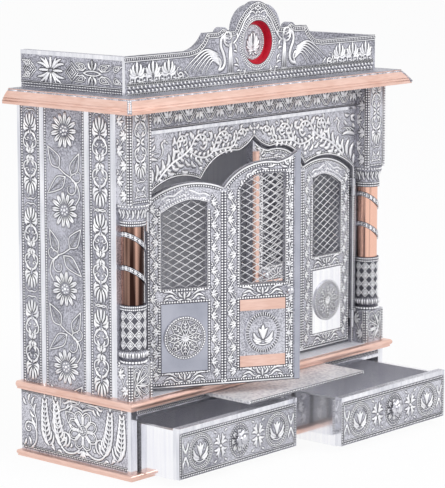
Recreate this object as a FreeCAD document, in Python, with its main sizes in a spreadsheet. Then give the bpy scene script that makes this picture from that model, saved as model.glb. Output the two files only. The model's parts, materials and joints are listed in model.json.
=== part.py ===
"""Home temple cabinet of aluminium-clad boards, with two doors, two drawers and a pull-out tray.

The frame: X runs along the width from the middle, Y runs back from the middle of the body's depth,
and Z runs up from the underside of the base. All lengths are in millimetres.
"""
import FreeCAD, Part
import math
import os

import Sketcher

SIZES = {
    # Carcass
    "body_width": 610,
    "body_depth": 234,
    "side_board": 12,
    "back_board": 8,
    "floor_board": 9,
    "base_height": 106,
    "shelf_board": 12,
    "cabinet_height": 430,
    "roof_board": 12,
    # Copper-faced mouldings
    "plinth_overhang": 12,
    "shelf_overhang": 12,
    "moulding_nose": 3,
    "moulding_step": 3,
    "crown_height": 20,
    "crown_overhang": 31,
    "crown_top_overhang": 18.4,
    "crown_lip": 3.5,
    "crown_swell": 1.6,
    "crown_flange": 2,
    # Parapet and crest
    "parapet_height": 57,
    "parapet_inset": 9,
    "parapet_board": 12,
    "crest_setback": 16,
    "crest_foot_half": 158,
    "crest_foot_sweep": 5,
    "crest_shoulder_half": 118,
    "crest_shoulder_rise": 25,
    "crest_bead_half": 80,
    "crest_bead_radius": 11,
    "crest_bead_rise": 7,
    "crest_arch_radius": 54,
    "crest_arch_rise": 14,
    "crest_lobe_swell": 10,
    "crest_peak_half": 17,
    "crest_peak_rise": 5,
    "niche_radius": 34.5,
    "niche_rise": 4.5,
    "niche_back": 3,
    "niche_back_margin": 10,
    "medallion_radius": 27,
    "medallion_thickness": 2,
    # Pillars at the front corners
    "pillar_width": 47,
    "pillar_depth": 27,
    "pillar_base_height": 55,
    "pillar_axis_setback": 17,
    "shaft_radius": 17,
    "ring_radius": 19.6,
    "drum_radius": 18.8,
    "bulb_radius": 21.5,
    "bulb_neck_radius": 16,
    "bead_ring": 5,
    "bulb_height": 17,
    "bulb_band": 5,
    "drum_height": 58,
    "drum_ring": 8,
    "shaft_height": 118,
    "shaft_ring": 8,
    "capital_height": 24.6,
    "capital_radius": 23.5,
    "capital_waist_radius": 18,
    "capital_waist_height": 9,
    "capital_lip": 5,
    "band_width": 6.4,
    "band_proud": 1.2,
    "band_gap": 0.3,
    "band_drop": 27,
    "band_top_gap": 25,
    "band_pitch": 50,
    # Front panel with the arched doorway
    "panel_setback": 23,
    "panel_board": 12,
    "post_board": 12,
    "wall_strip_proud": 0.8,
    "corner_trim_width": 11,
    "wall_strip_width": 10,
    "wall_strip_place": 55,
    "wall_bead_width": 9,
    "wall_bead_proud": 3,
    "wall_bead_place": 151,
    "back_trim_width": 6,
    "frieze_height": 34,
    "frame_strip": 6,
    "frame_strip_proud": 3,
    "jamb_width": 9,
    "arch_peak_gap": 22.5,
    "ogee_drop": 20,
    "ogee_half": 38,
    "ogee_dip": 3,
    "cusp_drop": 35.5,
    "shoulder_swell": 14,
    "spring_drop": 17,
    "lobe_rise": 17,
    # Doors, hung on barrels in front of the jambs
    "hinge_setback": 20,
    "hinge_barrel": 3,
    "hinge_plate": 1.2,
    "hinge_plate_depth": 14,
    "hinge_knuckle": 14,
    "hinge_foot_rise": 37,
    "hinge_spring_drop": 33,
    "knuckle_gap": 0.4,
    "door_face": 7,
    "door_board": 12,
    "door_edge_gap": 1.5,
    "door_head_gap": 5,
    "door_foot": 5,
    "left_door_angle": 29.7,
    "door_stile": 24,
    "door_mullion": 52,
    "lower_rail": 24,
    "lower_panel": 104,
    "lock_rail": 24,
    "outer_window_rise": 11,
    "inner_window_lift": 6,
    "inner_window_swell": 6,
    "inner_window_rise": 25,
    "lattice_depth": 4,
    "lattice_sheet": 1.5,
    "lattice_pitch_wide": 22,
    "lattice_pitch_high": 18.8,
    "lattice_bar": 1.8,
    "plate_proud": 1,
    "rosette_radius": 33,
    "rosette_proud": 2.4,
    "copper_plate_height": 17,
    "oval_half_width": 29,
    "oval_half_height": 33,
    "oval_swell": 10,
    "oval_proud": 2.4,
    "knob_inset": 20,
    "knob_radius": 6,
    "knob_neck": 3,
    "knob_stand": 5,
    "astragal_width": 15,
    "astragal_proud": 5,
    # Drawers in the base
    "divider_board": 12,
    "divider_stile": 38,
    "rail_height": 15,
    "drawer_gap": 2.5,
    "drawer_front": 12,
    "drawer_side_gap": 5,
    "drawer_run_gap": 0.3,
    "drawer_depth": 205,
    "drawer_wall": 8,
    "drawer_bottom": 4,
    "drawer_box_drop": 4.5,
    "left_drawer_out": 83,
    "right_drawer_out": 138,
    "pull_valley": 12.5,
    "pull_petal_rise": 3,
    "pull_neck": 5,
    "pull_stand": 6,
    "pull_petal_board": 3,
    "pull_boss": 7,
    "pull_dome": 8,
    # Pull-out tray under the shelf
    "tray_half": 140,
    "tray_depth": 200,
    "tray_board": 5,
    "tray_top_gap": 1,
    "tray_side_gap": 3,
    "tray_slot_gap": 1.5,
    "tray_out": 89,
    "tray_run_gap": 0.3,
    "runner_ledge": 6,
    "runner_cheek": 6,
    "runner_foot": 3.7,
}

doc = FreeCAD.newDocument("home_temple")
sheet = doc.addObject("Spreadsheet::Sheet", "Sizes")
for row, (alias, number) in enumerate(SIZES.items(), start=1):
    sheet.set(f"A{row}", alias)
    sheet.set(f"B{row}", str(number))
    sheet.setAlias(f"B{row}", alias)
doc.recompute()


class Size:
    """A length with the formula on the sheet that gives it."""

    def __init__(self, value, formula):
        self.value = float(value)
        self.formula = formula

    def joined(self, value, sign, other):
        return Size(value, f"({self.formula} {sign} {other.formula})")

    def __add__(self, other):
        other = as_size(other)
        return self.joined(self.value + other.value, "+", other)

    def __radd__(self, other):
        return as_size(other) + self

    def __sub__(self, other):
        other = as_size(other)
        return self.joined(self.value - other.value, "-", other)

    def __rsub__(self, other):
        return as_size(other) - self

    def __mul__(self, other):
        other = as_size(other)
        return self.joined(self.value * other.value, "*", other)

    def __rmul__(self, other):
        return as_size(other) * self

    def __truediv__(self, other):
        other = as_size(other)
        return self.joined(self.value / other.value, "/", other)

    def __neg__(self):
        return as_size(0) - self

    def root(self):
        """The square root."""
        return Size(math.sqrt(self.value), f"sqrt({self.formula})")


def as_size(number):
    """A plain number as a Size, and a Size as it is."""
    if isinstance(number, Size):
        return number
    return Size(number, repr(float(number)))


def size(alias):
    """The size that the sheet holds under this alias."""
    return Size(getattr(sheet, alias), f"Sizes.{alias}")


def bind(item, property_path, length):
    """Ties a property to the sheet."""
    item.setExpression(property_path, as_size(length).formula)


# Outlines: each corner is (u, v), or (u, v, rise) where the line to the next corner is an arc that
# bulges by the rise to the left of its direction. An outline is drawn clockwise, so that a positive
# rise bulges outwards.

def corner_parts(corner):
    """A corner's place and the rise of the line that leaves it."""
    u, v, *rise = corner
    return as_size(u), as_size(v), (as_size(rise[0]) if rise else None)


def mirrored(outline):
    """The outline turned over to the other side of u = 0, still clockwise."""
    turned_over = []
    for index in reversed(range(len(outline))):
        u, v, _ = corner_parts(outline[index])
        rise = corner_parts(outline[index - 1])[2]
        turned_over.append((-u, v) if rise is None else (-u, v, rise))
    return turned_over


def arc_between(start, end, rise):
    """The arc from start to end that bulges to the left by the rise."""
    along = end - start
    middle = (start + end) / 2
    left = FreeCAD.Vector(-along.y, along.x, 0).normalize()
    return Part.Arc(start, middle + left * rise.value, end)


def draw_outline(sketch, outline):
    """Draws one closed outline on a sketch and ties every corner and arc to the sheet."""
    corners = [corner_parts(corner) for corner in outline]
    points = [FreeCAD.Vector(u.value, v.value, 0) for u, v, _ in corners]
    ends = []
    for index, (u, v, rise) in enumerate(corners):
        start, end = points[index], points[(index + 1) % len(points)]
        if rise is None:
            edge = sketch.addGeometry(Part.LineSegment(start, end))
            ends.append((edge, 1, 2))
            continue
        edge = sketch.addGeometry(arc_between(start, end, rise))
        starts_first = sketch.getPoint(edge, 1).distanceToPoint(start) < sketch.getPoint(edge, 2).distanceToPoint(start)
        ends.append((edge, 1, 2) if starts_first else (edge, 2, 1))
    for index, (u, v, rise) in enumerate(corners):
        edge, first, last = ends[index]
        next_edge, next_first, _ = ends[(index + 1) % len(ends)]
        sketch.addConstraint(Sketcher.Constraint("Coincident", edge, last, next_edge, next_first))
        for kind, place in (("DistanceX", u), ("DistanceY", v)):
            tie = sketch.addConstraint(Sketcher.Constraint(kind, -1, 1, edge, first, place.value))
            bind(sketch, f"Constraints[{tie}]", place)
        if rise is not None:
            u_end, v_end, _ = corners[(index + 1) % len(corners)]
            tie_centre(sketch, edge, (u, v), (u_end, v_end), rise)


def tie_centre(sketch, edge, start, end, rise):
    """Ties an arc's centre to its two ends and its rise."""
    across, up = end[0] - start[0], end[1] - start[1]
    chord_squared = across * across + up * up
    reach = (rise * rise - chord_squared / 4) / (rise * 2 * chord_squared.root())
    if abs(up.value) > abs(across.value):
        kind, place = "DistanceX", (start[0] + end[0]) / 2 - up * reach
    else:
        kind, place = "DistanceY", (start[1] + end[1]) / 2 + across * reach
    tie = sketch.addConstraint(Sketcher.Constraint(kind, -1, 1, edge, 3, place.value))
    bind(sketch, f"Constraints[{tie}]", place)


def draw_circle(sketch, u, v, radius):
    """Draws one circle on a sketch and ties its centre and radius to the sheet."""
    u, v, radius = as_size(u), as_size(v), as_size(radius)
    centre = FreeCAD.Vector(u.value, v.value, 0)
    edge = sketch.addGeometry(Part.Circle(centre, FreeCAD.Vector(0, 0, 1), radius.value))
    for kind, place in (("DistanceX", u), ("DistanceY", v)):
        tie = sketch.addConstraint(Sketcher.Constraint(kind, -1, 1, edge, 3, place.value))
        bind(sketch, f"Constraints[{tie}]", place)
    tie = sketch.addConstraint(Sketcher.Constraint("Radius", edge, radius.value))
    bind(sketch, f"Constraints[{tie}]", radius)


def origin_plane(body, role):
    """One of the body's own origin planes."""
    return next(item for item in body.Origin.OriginFeatures if item.Role == role)


def new_sketch(body, role, shift=(0, 0, 0)):
    """A sketch on one of the body's origin planes, moved by a shift in the plane's own directions."""
    sketch = body.newObject("Sketcher::SketchObject", f"{body.Name}_sketch")
    sketch.AttachmentSupport = [(origin_plane(body, role), "")]
    sketch.MapMode = "FlatFace"
    for letter, distance in zip("xyz", shift):
        bind(sketch, f"AttachmentOffset.Base.{letter}", distance)
    return sketch


def extruded(label, role, span, *outlines, circles=()):
    """A body padded over a span: XY_Plane along Z, YZ_Plane along X, XZ_Plane along Y."""
    low, high = as_size(span[0]), as_size(span[1])
    body = doc.addObject("PartDesign::Body", label)
    lift = -high if role == "XZ_Plane" else low
    sketch = new_sketch(body, role, (0, 0, lift))
    for outline in outlines:
        draw_outline(sketch, outline)
    for circle in circles:
        draw_circle(sketch, *circle)
    pad = body.newObject("PartDesign::Pad", f"{label}_pad")
    pad.Profile = sketch
    bind(pad, "Length", high - low)
    sketch.Visibility = False
    return body


def turned(label, role, centre, outline):
    """A body revolved about an upright line of the sketch plane through centre (a shift in the plane)."""
    body = doc.addObject("PartDesign::Body", label)
    sketch = new_sketch(body, role, centre)
    draw_outline(sketch, outline)
    revolution = body.newObject("PartDesign::Revolution", f"{label}_turn")
    revolution.Profile = sketch
    revolution.ReferenceAxis = (sketch, ["V_Axis"])
    revolution.Angle = 360
    sketch.Visibility = False
    return body


def board(label, x, y, z):
    """A flat board between two planes each way."""
    box = doc.addObject("Part::Box", label)
    for side, letter, (low, high) in (("Length", "x", x), ("Width", "y", y), ("Height", "z", z)):
        bind(box, side, as_size(high) - low)
        bind(box, f"Placement.Base.{letter}", low)
    return box


def post(label, x, y, z, radius):
    """An upright round bar at x, y over the span z."""
    bar = doc.addObject("Part::Cylinder", label)
    bind(bar, "Radius", radius)
    bind(bar, "Height", as_size(z[1]) - z[0])
    for letter, place in (("x", x), ("y", y), ("z", z[0])):
        bind(bar, f"Placement.Base.{letter}", place)
    return bar


def cut(label, base, tool):
    """One solid with another taken out of it."""
    result = doc.addObject("Part::Cut", label)
    result.Base = base
    result.Tool = tool
    return result


def common(label, base, tool):
    """What two solids share."""
    result = doc.addObject("Part::Common", label)
    result.Base = base
    result.Tool = tool
    return result


def fused(label, *items):
    """Solids joined into one."""
    result = doc.addObject("Part::MultiFuse", label)
    result.Shapes = list(items)
    result.Refine = True
    return result


def grouped(label, *items):
    """Like pieces that share a node."""
    result = doc.addObject("Part::Compound", label)
    result.Links = list(items)
    return result


def other_side(item):
    """The same piece mirrored to the other side of the cabinet."""
    mirror = doc.addObject("Part::Mirroring", f"{item.Name}_mirror")
    mirror.Source = item
    mirror.Normal = FreeCAD.Vector(1, 0, 0)
    return mirror


def rectangle(u, v):
    """The clockwise outline of a rectangle."""
    return [(u[0], v[0]), (u[0], v[1]), (u[1], v[1]), (u[1], v[0])]


def round_outline(u, v, radius, sides):
    """The clockwise outline of a round piece, drawn with flat sides whose middles touch the circle."""
    reach = as_size(radius) / math.cos(math.pi / sides)
    angles = [-math.tau * (side + 0.5) / sides for side in range(sides)]
    return [(reach * math.cos(angle) + u, reach * math.sin(angle) + v) for angle in angles]


def swollen(start, end, swell, steps):
    """Corners from start up to end along a line that bulges to its left by the swell."""
    across, up = end[0] - start[0], end[1] - start[1]
    length = (across * across + up * up).root()
    corners = []
    for step in range(steps):
        share = step / steps
        lift = swell / length * (4 * share * (1 - share))
        corners.append((start[0] + across * share - up * lift, start[1] + up * share + across * lift))
    return corners


def petal_ring(u, v, valley, rise, petals, steps):
    """The clockwise outline of a flower whose petals swell out from a circle of valleys."""
    corners = []
    for step in range(petals * steps):
        share = (step % steps) / steps
        reach = valley + rise * (4 * share * (1 - share))
        angle = -math.tau * step / (petals * steps)
        corners.append((reach * math.cos(angle) + u, reach * math.sin(angle) + v))
    return corners


DISC_SIDES = 36
BAND_SIDES = 16
KNOB_SIDES = 12
OVAL_STEPS = 9
PULL_PETALS = 8
PETAL_STEPS = 4

nodes = []


def node(item, label=None):
    """Names a finished sub-part, which is then written under its label."""
    item.Label = label or item.Name
    nodes.append(item)
    return item


def node_pair(label, item):
    """A finished sub-part made of one piece on each side of the cabinet."""
    return node(grouped(label, item, other_side(item)))


# Planes that several pieces share
half_width = size("body_width") / 2
front = -size("body_depth") / 2
back = size("body_depth") / 2
side_inner = half_width - size("side_board")
back_inner = back - size("back_board")
floor_top = size("floor_board")
base_top = size("base_height")
shelf_top = base_top + size("shelf_board")
roof_low = shelf_top + size("cabinet_height")
roof_top = roof_low + size("roof_board")
wall_front = front + size("pillar_depth")
crown_top = roof_low + size("crown_height") + size("crown_flange")
parapet_top = crown_top + size("parapet_height")
parapet_outer = half_width - size("parapet_inset")
crest_front = front + size("crest_setback")
crest_back = crest_front + size("parapet_board")
panel_front = front + size("panel_setback")
panel_back = panel_front + size("panel_board")
pillar_inner = half_width - size("pillar_width")
rail_low = base_top - size("rail_height")

# The arch over the doorway, from the frieze strip down, and the line that the doors hang on
strip_top = roof_low - size("frieze_height")
strip_low = strip_top - size("frame_strip")
arch_peak = strip_low - size("arch_peak_gap")
ogee_level = arch_peak - size("ogee_drop")
cusp_level = ogee_level - size("cusp_drop")
arch_spring = cusp_level - size("spring_drop")
jamb = pillar_inner - size("jamb_width")
hinge_line = jamb - size("door_edge_gap")
free_edge = hinge_line - size("door_edge_gap")
window_width = (free_edge - size("door_stile") * 2 - size("door_mullion")) / 2
cusp_half = hinge_line - size("door_stile") - window_width - size("door_mullion") / 2
door_foot = shelf_top + size("door_foot")
hinge_levels = (("low", door_foot + size("hinge_foot_rise")), ("high", arch_spring - size("hinge_spring_drop")))


def mirrored_about(line, outline):
    """The outline turned over about the line u = line, still clockwise."""
    turned_over = []
    for u, v, *rise in mirrored(outline):
        turned_over.append((u + line * 2, v, *rise))
    return turned_over


def moulding(label, height_span, overhang):
    """A nosed moulding round the front and sides, mitred at the front corners."""
    low, high = height_span
    step_top = low + size("moulding_step")
    shank = overhang - size("moulding_nose")

    def section(face):
        """The section on the right of a face, with a small step under its nose."""
        return [(face, low), (face, high), (face + shank, high, size("moulding_nose")),
                (face + shank, step_top), (face + shank, low)]

    outer = half_width + overhang
    front_run = extruded(f"{label}_front_run", "YZ_Plane", (-outer, outer), mirrored_about(front, section(front)))
    front_plan = extruded(f"{label}_front_plan", "XY_Plane", height_span,
                          [(-outer, front - overhang), (-half_width, front),
                           (half_width, front), (outer, front - overhang)])
    node(common(f"{label}_front", front_run, front_plan))
    side_run = extruded(f"{label}_side_run", "XZ_Plane", (front - overhang, back), section(half_width))
    side_plan = extruded(f"{label}_side_plan", "XY_Plane", height_span,
                         [(half_width, front), (half_width, back), (outer, back), (outer, front - overhang)])
    node_pair(f"{label}_sides", common(f"{label}_side", side_run, side_plan))


def build_base():
    """The drawer base: floor, sides, back, divider, rail and its two mouldings."""
    upright = (floor_top, base_top)
    node(board("base_floor", (-half_width, half_width), (front, back), (0, floor_top)))
    node(board("base_left_side", (-half_width, -side_inner), (front, back), upright))
    node(board("base_right_side", (side_inner, half_width), (front, back), upright))
    node(board("base_back", (-side_inner, side_inner), (back_inner, back), upright))
    stile = size("divider_stile") / 2
    web = size("divider_board") / 2
    stile_back = front + size("drawer_front")
    node(extruded("base_divider", "XY_Plane", (floor_top, rail_low),
                  [(-stile, front), (-stile, stile_back), (-web, stile_back), (-web, back_inner),
                   (web, back_inner), (web, stile_back), (stile, stile_back), (stile, front)]))
    slot = size("tray_half") + size("tray_side_gap")
    slot_low = base_top - size("tray_top_gap") - size("tray_board") - size("tray_slot_gap")
    node(extruded("base_rail", "XZ_Plane", (front, stile_back),
                  [(-side_inner, rail_low), (-side_inner, base_top), (-slot, base_top), (-slot, slot_low),
                   (slot, slot_low), (slot, base_top), (side_inner, base_top), (side_inner, rail_low)]))
    moulding("plinth_moulding", (as_size(0), floor_top), size("plinth_overhang"))


def build_shelf():
    """The shelf board over the drawers and the moulding round it."""
    node(board("shelf_board", (-half_width, half_width), (front, back), (base_top, shelf_top)))
    moulding("shelf_moulding", (base_top, shelf_top), size("shelf_overhang"))


def build_cabinet():
    """The cabinet's walls, back, roof and the posts behind the pillars."""
    upright = (shelf_top, roof_low)
    node(board("left_wall", (-half_width, -side_inner), (wall_front, back), upright))
    node(board("right_wall", (side_inner, half_width), (wall_front, back), upright))
    node(board("back_wall", (-side_inner, side_inner), (back_inner, back), upright))
    node(board("roof_board", (-half_width, half_width), (front, back), (roof_low, roof_top)))
    node_pair("front_posts", board("front_post", (pillar_inner, side_inner),
                                   (wall_front, wall_front + size("post_board")), upright))
    node_pair("wall_strips", grouped("wall_strip", *wall_strips(upright)))


def wall_strips(upright):
    """The bare strips that part a side wall's embossed panels: three flat ones and a half-round one."""
    face = (half_width, half_width + size("wall_strip_proud"))
    strip_y = wall_front + size("wall_strip_place")
    bead_y = wall_front + size("wall_bead_place")
    flat = [("corner_trim", wall_front, wall_front + size("corner_trim_width")),
            ("wall_strip_flat", strip_y, strip_y + size("wall_strip_width")),
            ("back_trim", back - size("back_trim_width"), back)]
    strips = [board(label, face, (low, high), upright) for label, low, high in flat]
    round_plan = [(half_width, bead_y + size("wall_bead_width"), size("wall_bead_proud")), (half_width, bead_y)]
    strips.append(extruded("wall_bead", "XY_Plane", upright, round_plan))
    return strips


def arch_head(drop):
    """The doorway's head from the left jamb to the right one, lowered by a drop."""
    left = [(-jamb, arch_spring - drop, size("lobe_rise")),
            (-cusp_half, cusp_level - drop, size("shoulder_swell")),
            (-size("ogee_half"), ogee_level - drop, -size("ogee_dip"))]
    right = [(0, arch_peak - drop, -size("ogee_dip")),
             (size("ogee_half"), ogee_level - drop, size("shoulder_swell")),
             (cusp_half, cusp_level - drop, size("lobe_rise")),
             (jamb, arch_spring - drop)]
    return left + right


def build_front():
    """The front panel with its arched doorway, and the strips that frame its face."""
    head = arch_head(0)
    outline = [(-pillar_inner, shelf_top), (-pillar_inner, roof_low), (pillar_inner, roof_low),
               (pillar_inner, shelf_top), (jamb, shelf_top)]
    for index in reversed(range(len(head))):
        u, v = head[index][:2]
        rise = corner_parts(head[index - 1])[2] if index else None
        outline.append((u, v) if rise is None else (u, v, -rise))
    outline.append((-jamb, shelf_top))
    node(extruded("arch_panel", "XZ_Plane", (panel_front, panel_back), outline))
    strip_front = panel_front - size("frame_strip_proud")
    node(board("frieze_moulding", (-pillar_inner, pillar_inner), (strip_front, panel_front), (strip_low, strip_top)))
    node_pair("side_mouldings", board("side_moulding", (pillar_inner - size("frame_strip"), pillar_inner),
                                      (strip_front, panel_front), (arch_spring, strip_low)))


def build_crown():
    """The roof moulding with its flat top, mitred round the front and sides."""
    low_edge = size("crown_overhang")
    top_edge = size("crown_top_overhang")
    moulding_top = roof_low + size("crown_height")
    lip_top = roof_low + size("crown_lip")

    def section(face, inner):
        """The section on the right of the face, with its flange running in to the parapet."""
        return [(face, roof_low), (face, roof_top), (inner, roof_top), (inner, crown_top),
                (face + top_edge, crown_top), (face + top_edge, moulding_top, size("crown_swell")),
                (face + low_edge, lip_top), (face + low_edge, roof_low)]

    front_section = mirrored_about(front, section(front, front - size("crest_setback")))
    span = (roof_low, crown_top)
    outer = half_width + low_edge
    front_run = extruded("crown_front_run", "YZ_Plane", (-outer, outer), front_section)
    front_plan = extruded("crown_front_plan", "XY_Plane", span,
                          [(-outer, front - low_edge), (-half_width, front), (-parapet_outer, crest_front),
                           (parapet_outer, crest_front), (half_width, front), (outer, front - low_edge)])
    node(common("crown_front", front_run, front_plan))
    side_run = extruded("crown_side_run", "XZ_Plane", (front - low_edge, back), section(half_width, parapet_outer))
    side_plan = extruded("crown_side_plan", "XY_Plane", span,
                         [(half_width, front), (parapet_outer, crest_front), (parapet_outer, back),
                          (outer, back), (outer, front - low_edge)])
    node_pair("crown_sides", common("crown_side", side_run, side_plan))


def build_parapet():
    """The crest board with its round niche, the parapet's sides and the medallion."""
    shoulder_top = parapet_top + size("crest_shoulder_rise")
    bead_left = size("crest_bead_half") + size("crest_bead_radius")
    bead_right = size("crest_bead_half") - size("crest_bead_radius")
    arch_half = size("crest_arch_radius")
    arch_foot = parapet_top + size("crest_shoulder_rise")
    arch_top = parapet_top + size("crest_arch_rise") + size("crest_arch_radius")
    crown_half = size("crest_peak_half")
    crown_level = arch_top - size("crest_peak_rise")
    left = [(-parapet_outer, roof_top), (-parapet_outer, parapet_top),
            (-size("crest_foot_half"), parapet_top, -size("crest_foot_sweep")),
            (-size("crest_shoulder_half"), shoulder_top),
            (-bead_left, shoulder_top, size("crest_bead_rise")),
            (-bead_right, shoulder_top),
            (-arch_half, arch_foot, size("crest_lobe_swell")),
            (-crown_half, crown_level, size("crest_peak_rise"))]
    right = [(crown_half, crown_level, size("crest_lobe_swell")), (arch_half, arch_foot),
             (bead_right, shoulder_top, size("crest_bead_rise")), (bead_left, shoulder_top),
             (size("crest_shoulder_half"), shoulder_top, -size("crest_foot_sweep")),
             (size("crest_foot_half"), parapet_top), (parapet_outer, parapet_top), (parapet_outer, roof_top)]
    niche_level = parapet_top + size("niche_rise")
    node(extruded("crest_board", "XZ_Plane", (crest_front, crest_back), left + right,
                  circles=[(0, niche_level, size("niche_radius"))]))
    node_pair("parapet_sides", board("parapet_side", (parapet_outer - size("parapet_board"), parapet_outer),
                                     (crest_back, back), (roof_top, parapet_top)))
    backing_half = size("niche_radius") + size("niche_back_margin")
    node(board("niche_backing", (-backing_half, backing_half), (crest_back, crest_back + size("niche_back")),
               (niche_level - backing_half, niche_level + backing_half)))
    node(extruded("crest_medallion", "XZ_Plane", (crest_back - size("medallion_thickness"), crest_back),
                  round_outline(0, niche_level, size("medallion_radius"), DISC_SIDES)))


def build_pillars():
    """The engaged pillars: square blocks above and below a turned column, flat where it meets the wall."""
    axis_x = half_width - size("pillar_width") / 2
    axis_y = front + size("pillar_axis_setback")
    block_top = shelf_top + size("pillar_base_height")
    bead_top = block_top + size("bead_ring")
    bulb_top = bead_top + size("bulb_height")
    drum_top = bulb_top + size("drum_height")
    drum_ring_top = drum_top + size("drum_ring")
    shaft_top = drum_ring_top + size("shaft_height")
    shaft_ring_top = shaft_top + size("shaft_ring")
    capital_top = shaft_ring_top + size("capital_height")
    block_x = (pillar_inner, half_width)
    block_y = (front, wall_front)

    def column_part(label, outline):
        """A turned part of the column, cut flat at the wall."""
        column = turned(f"{label}_turned", "XZ_Plane", (axis_x, 0, -axis_y), outline)
        low = corner_parts(outline[0])[1]
        high = max((corner_parts(corner)[1] for corner in outline), key=lambda level: level.value)
        reach = size("pillar_width")
        wall = board(f"{label}_wall", (axis_x - reach, axis_x + reach), (wall_front, wall_front + reach), (low, high))
        node_pair(label + "s", cut(f"{label}_cut", column, wall))

    node_pair("pillar_base_blocks", board("pillar_base_block", block_x, block_y, (shelf_top, block_top)))
    band_low = (bead_top + bulb_top - size("bulb_band")) / 2
    column_part("pillar_bulb", [
        (0, block_top), (0, bulb_top), (size("bulb_neck_radius"), bulb_top),
        (size("bulb_radius"), band_low + size("bulb_band")), (size("bulb_radius"), band_low),
        (size("bulb_neck_radius"), bead_top), (size("ring_radius"), bead_top), (size("ring_radius"), block_top)])
    column_part("pillar_drum", [
        (0, bulb_top), (0, drum_ring_top), (size("ring_radius"), drum_ring_top), (size("ring_radius"), drum_top),
        (size("drum_radius"), drum_top), (size("drum_radius"), bulb_top)])
    column_part("pillar_shaft", [
        (0, drum_ring_top), (0, shaft_top), (size("shaft_radius"), shaft_top), (size("shaft_radius"), drum_ring_top)])
    column_part("pillar_capital", [
        (0, shaft_top), (0, capital_top), (size("capital_radius"), capital_top),
        (size("capital_radius"), capital_top - size("capital_lip")),
        (size("capital_waist_radius"), shaft_ring_top + size("capital_waist_height")),
        (size("ring_radius"), shaft_ring_top), (size("ring_radius"), shaft_top)])
    node_pair("pillar_top_blocks", board("pillar_top_block", block_x, block_y, (capital_top, roof_low)))
    bands = []
    for side, x in (("left", -axis_x), ("right", axis_x)):
        for place in range(2):
            level = shaft_top - size("band_top_gap") - size("band_pitch") * place
            bands.append(shaft_band(f"{side}_band_{place}", x, axis_y, level))
    node(grouped("pillar_bands", *bands))


def shaft_band(label, x, y, level):
    """A slanting band that lies round a shaft and falls to the right, flat where it meets the wall."""
    bore = size("shaft_radius") + size("band_gap")
    reach = bore + size("band_proud")
    fall = size("band_drop") / 2
    half = size("band_width") / 2
    sleeve_span = (level - fall - half, level + fall + half)
    sleeve = extruded(f"{label}_sleeve", "XY_Plane", sleeve_span,
                      round_outline(x, y, reach, BAND_SIDES), round_outline(x, y, bore, BAND_SIDES))
    slice_outline = [(x - reach, level + fall - half), (x - reach, level + fall + half),
                     (x + reach, level - fall + half), (x + reach, level - fall - half)]
    return common(label, sleeve, extruded(f"{label}_slice", "XZ_Plane", (y - reach, wall_front), slice_outline))


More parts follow.
